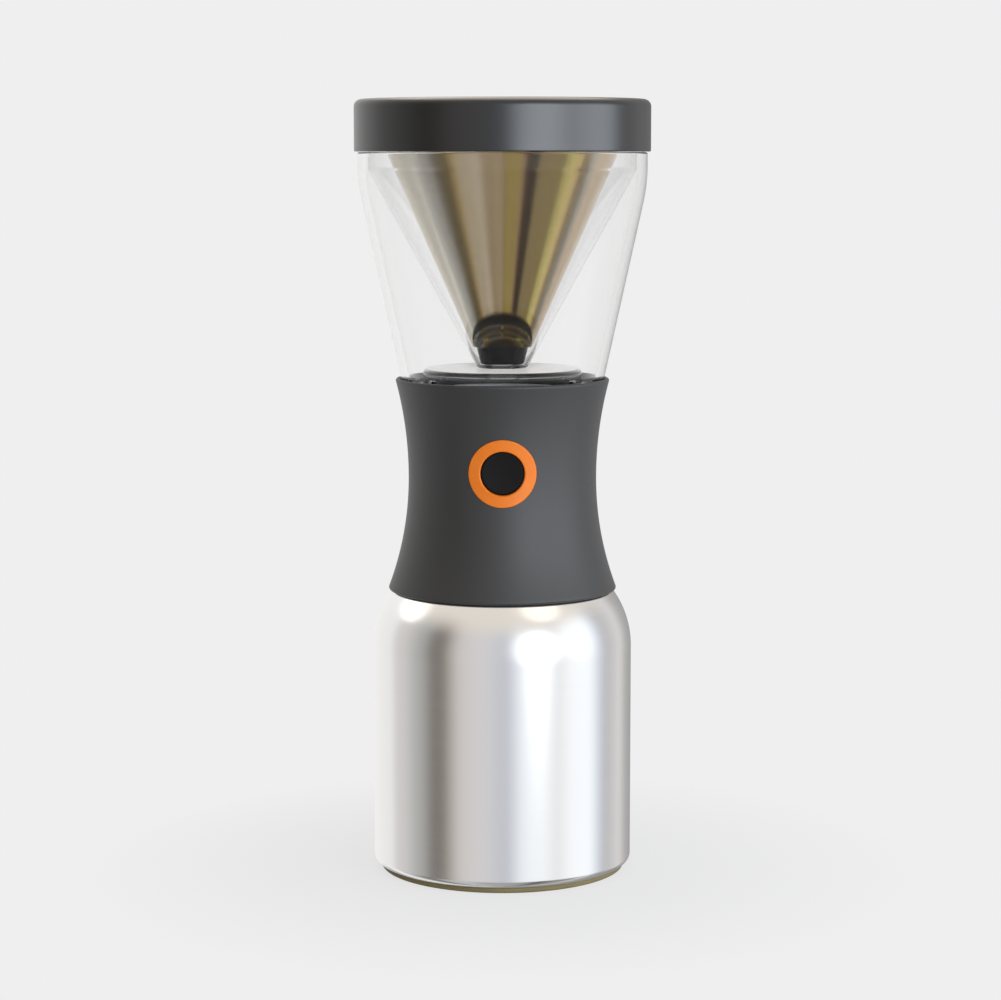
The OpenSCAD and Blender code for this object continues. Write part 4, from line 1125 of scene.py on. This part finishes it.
pale_tone = (PALE, PALE, PALE, 1)
disc = bmesh.new()
bmesh.ops.create_circle(disc, cap_ends=True, radius=FLOOR_R, segments=128)
floor = piece_from("floor", disc)
floor_paint = bpy.data.materials.new("floor_paint")
floor_paint.use_nodes = True
paint = Nodes(floor_paint.node_tree)
matt = paint.node("ShaderNodeBsdfDiffuse", {}, {"Color": FLOOR_MATT})
glow = paint.node("ShaderNodeEmission", {}, {"Color": pale_tone, "Strength": 1.0})
own_place = paint.node("ShaderNodeTexCoord", {}, {}, "Object")
far = paint.node("ShaderNodeVectorMath", {"operation": "LENGTH"}, {0: own_place}, "Value")
spread = paint.node("ShaderNodeMapRange", {}, {
    "Value": far, "From Min": SHADOW_FROM, "From Max": SHADOW_TO, "To Min": SHADOW_SHOWS,
    "To Max": 1.0})
floor_mix = paint.node("ShaderNodeMixShader", {}, {
    0: ray_of(paint, "Camera") * spread, 1: matt, 2: glow})
paint.tree.links.new(floor_mix.link, paint.tree.nodes["Material Output"].inputs["Surface"])
floor.data.materials.append(floor_paint)
floor.visible_glossy = False
floor.visible_transmission = False

world = bpy.data.worlds.new("studio")
world.use_nodes = True
bpy.context.scene.world = world
sky = Nodes(world.node_tree)
ahead = sky.node("ShaderNodeTexCoord", {}, {}, "Generated")
sight_x, sight_y, sight_z = [
    sky.node("ShaderNodeSeparateXYZ", {}, {"Vector": ahead}, axis) for axis in range(3)]
bearing = sight_x.math("ARCTAN2", sight_x, 0 - sight_y)
seen, glossy, through = [ray_of(sky, kind) for kind in ("Camera", "Glossy", "Transmission")]
low = 1 - risen(sky, sight_z, LOW_EDGE)
low_bands = [(angle, level, NEUTRAL) for angle, level in LOW_BANDS]
walls = sky.between(low, bands(sky, bearing, WALL_BANDS), bands(sky, bearing, low_bands))
walls = sky.between(risen(sky, sight_z, CEILING_EDGE), walls, CEILING_TINT)
looked_at = seen.math("MAXIMUM", seen, through * (1 - low))
mirrored = sky.between(looked_at, walls, pale_tone)
lit_sky = sky.node("ShaderNodeBackground", {}, {"Color": ROOM_GREY, "Strength": 1.0})
seen_sky = sky.node("ShaderNodeBackground", {}, {"Color": mirrored, "Strength": 1.0})
sky_mix = sky.node("ShaderNodeMixShader", {}, {
    0: seen.math("MINIMUM", seen + glossy + through, 1.0), 1: lit_sky, 2: seen_sky})
sky.tree.links.new(sky_mix.link, sky.tree.nodes["World Output"].inputs["Surface"])

# The soft boxes, each with its bearing, distance and height, the width and height of its
# cloth, its radiance and its tint. The clear pieces and the steel would mirror the two low
# ones as hard shapes, so the steel has rounder and softer ones of its own.
FOCUS = Vector((0, 0, 0.17))
SOFT_BOXES = [
    ("key_box", 29, 1.6, 0.35, 1.3, 0.7, 5.0, (0.84, 0.91, 1.0)),
    ("side_box", 73, 1.6, 0.35, 1.3, 0.62, 3.6, (0.82, 0.90, 1.0)),
    ("top_box", 200, 1.5, 1.7, 1.2, 1.0, 0.9, (1.0, 0.98, 0.95)),
    ("lid_box", 180, 0.5, 2.0, 2.4, 2.4, 3.2, (1.0, 0.91, 0.82)),
    ("round_box", 31, 1.6, 0.36, 1.3, 1.3, 0.42, (0.95, 0.98, 1.0)),
    ("glint_box", 72, 1.6, 0.47, 1.2, 1.3, 0.1, (0.93, 0.97, 1.0)),
    ("plate_box", 0, 0.8, 0.75, 0.7, 0.3, 12.0, NEUTRAL),
    ("left_box", -108, 1.0, 0.72, 0.7, 0.55, 0.7, (1.0, 0.96, 0.88)),
    ("right_box", 50, 1.0, 1.4, 0.9, 0.8, 0.5, (1.0, 0.92, 0.82))]


def soft_box(name, bearing, distance, height, width, tall, radiance, tint):
    """A soft box of an even brightness, invisible to the camera itself."""
    lamp = bpy.data.lights.new(name, "AREA")
    lamp.shape = "ELLIPSE"
    lamp.size = width
    lamp.size_y = tall
    lamp.energy = radiance * math.pi * width * tall
    lamp.color = tint
    holder = bpy.data.objects.new(name, lamp)
    bpy.context.collection.objects.link(holder)
    angle = math.radians(bearing)
    place = Vector((distance * math.sin(angle), -distance * math.cos(angle), height))
    holder.location = place
    holder.rotation_euler = (FOCUS - place).to_track_quat("-Z", "Y").to_euler()
    holder.visible_camera = False
    holder.visible_transmission = False


def link_light(name, state, *pieces):
    """Lets a soft box light only these pieces, or leaves them out."""
    chosen = bpy.data.collections.new(name + "_pieces")
    for piece in pieces:
        chosen.objects.link(piece)
    for entry in chosen.collection_objects:
        entry.light_linking.link_state = state
    bpy.data.objects[name].light_linking.receiver_collection = chosen


for box in SOFT_BOXES:
    soft_box(*box)
for name in ("key_box", "side_box"):
    link_light(name, "EXCLUDE", chamber, funnel, carafe_wall)
for name in ("round_box", "glint_box", "left_box", "right_box"):
    link_light(name, "INCLUDE", carafe_wall)
link_light("lid_box", "INCLUDE", lid)
link_light("plate_box", "INCLUDE", chamber)
bpy.data.objects["plate_box"].visible_glossy = False

# Camera: it stands level with the chamber and looks a little down, far enough away that
# the maker's sides stay almost parallel, as in the photograph.
CAMERA_SENSOR = 36
CAMERA_LENS = 102.58
CAMERA_DISTANCE = 1.3265
CAMERA_HEIGHT = 0.3359
CAMERA_SIDE = -0.0009
CAMERA_TILT = 6.964

lens = bpy.data.cameras.new("camera")
lens.lens = CAMERA_LENS
lens.sensor_width = CAMERA_SENSOR
camera = bpy.data.objects.new("camera", lens)
camera.location = (CAMERA_SIDE, -CAMERA_DISTANCE, CAMERA_HEIGHT)
camera.rotation_euler = (math.radians(90 - CAMERA_TILT), 0, 0)
bpy.context.collection.objects.link(camera)
bpy.context.scene.camera = camera
bpy.context.scene.view_settings.view_transform = "Standard"
